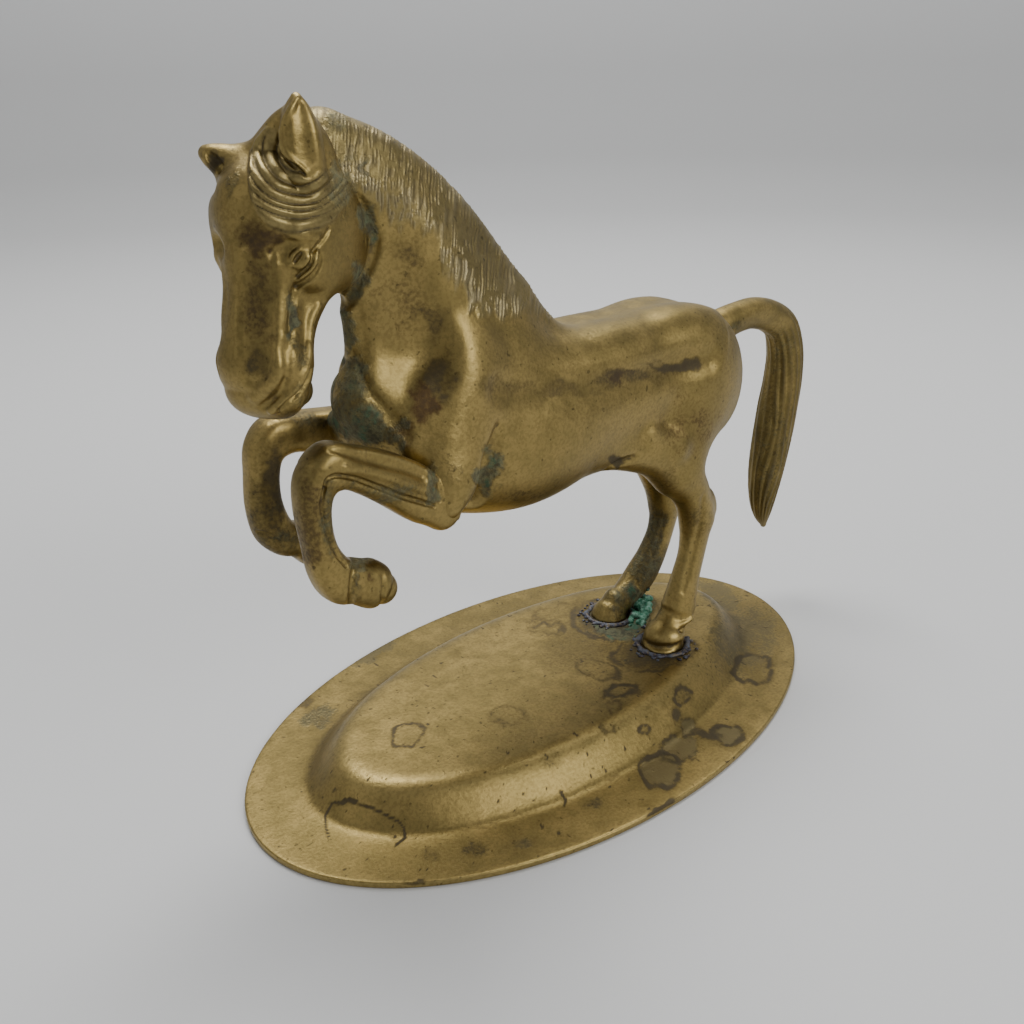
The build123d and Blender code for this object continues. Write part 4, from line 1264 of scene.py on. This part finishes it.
# ---------------------------------------------------------------- setting
# the floor rises into a wall all round: metres from the middle, metres up
FLOOR_RINGS = [(0.5, 0), (0.9, 0), (1.2, 0.03), (1.45, 0.13), (1.62, 0.32), (1.7, 0.6), (1.72, 1.2)]
FLOOR_SIDES = 64


def floor_mesh():
    bm = bmesh.new()
    middle = bm.verts.new((0, 0, 0))
    angles = [2 * math.pi * i / FLOOR_SIDES for i in range(FLOOR_SIDES)]
    rings = [[bm.verts.new((r * math.cos(a), r * math.sin(a), z)) for a in angles] for r, z in FLOOR_RINGS]
    for i in range(FLOOR_SIDES):
        j = (i + 1) % FLOOR_SIDES
        bm.faces.new((middle, rings[0][i], rings[0][j]))
        for inner, outer in zip(rings, rings[1:]):
            bm.faces.new((inner[i], outer[i], outer[j], inner[j]))
    mesh = bpy.data.meshes.new("floor")
    bm.to_mesh(mesh)
    bm.free()
    mesh.polygons.foreach_set("use_smooth", np.ones(len(mesh.polygons), bool))
    return mesh


floor = bpy.data.objects.new("floor", floor_mesh())
bpy.context.scene.collection.objects.link(floor)
paper = Nodes("paper")
height = paper.add("ShaderNodeSeparateXYZ")
paper.feed(height.inputs[0], paper.place)
# the sweep's colour lightens from the floor up the wall: painted light
paper.feed(paper.shader.inputs["Base Color"], paper.mix(
    paper.span(height.outputs["Z"], 0.0, 0.5), (0.56, 0.56, 0.555), (0.86, 0.86, 0.86)))
paper.shader.inputs["Roughness"].default_value = 0.8
floor.data.materials.append(paper.mat)

world = bpy.data.worlds.new("world")
bpy.context.scene.world = world
world.use_nodes = True
world.node_tree.nodes["Background"].inputs[0].default_value = (0.96, 0.98, 1.0, 1)
world.node_tree.nodes["Background"].inputs[1].default_value = 0.34


def area_light(name, place, aim, size, power):
    light = bpy.data.lights.new(name, "AREA")
    light.shape = "RECTANGLE"
    light.size, light.size_y = size
    light.energy = power
    lamp = bpy.data.objects.new(name, light)
    lamp.location = place
    lamp.rotation_euler = (Vector(aim) - Vector(place)).to_track_quat("-Z", "Y").to_euler()
    bpy.context.scene.collection.objects.link(lamp)


HORSE, WALL = (0, 0, 0.06), (1.15, 1.25, 0.30)  # what the lights are aimed at, in metres
area_light("key", (0.18, 0.24, 0.78), HORSE, (0.60, 0.34), 7.6)
area_light("side", (-0.75, 0.15, 0.50), HORSE, (0.3, 0.5), 0.3)
area_light("front", (0.15, -0.82, 0.55), HORSE, (0.6, 0.4), 4.5)
area_light("wall", (0.45, 0.50, 0.95), WALL, (0.8, 0.4), 4.2)

cam_data = bpy.data.cameras.new("camera")
cam_data.sensor_width = SENSOR
cam_data.lens = LENS
cam_data.clip_start = 0.01
cam = bpy.data.objects.new("camera", cam_data)
cam.location = Vector(EYE * MM)
cam.rotation_euler = Matrix(np.stack([RIGHT, UP, -LOOK], 1)).to_euler()
bpy.context.scene.collection.objects.link(cam)
bpy.context.scene.camera = cam
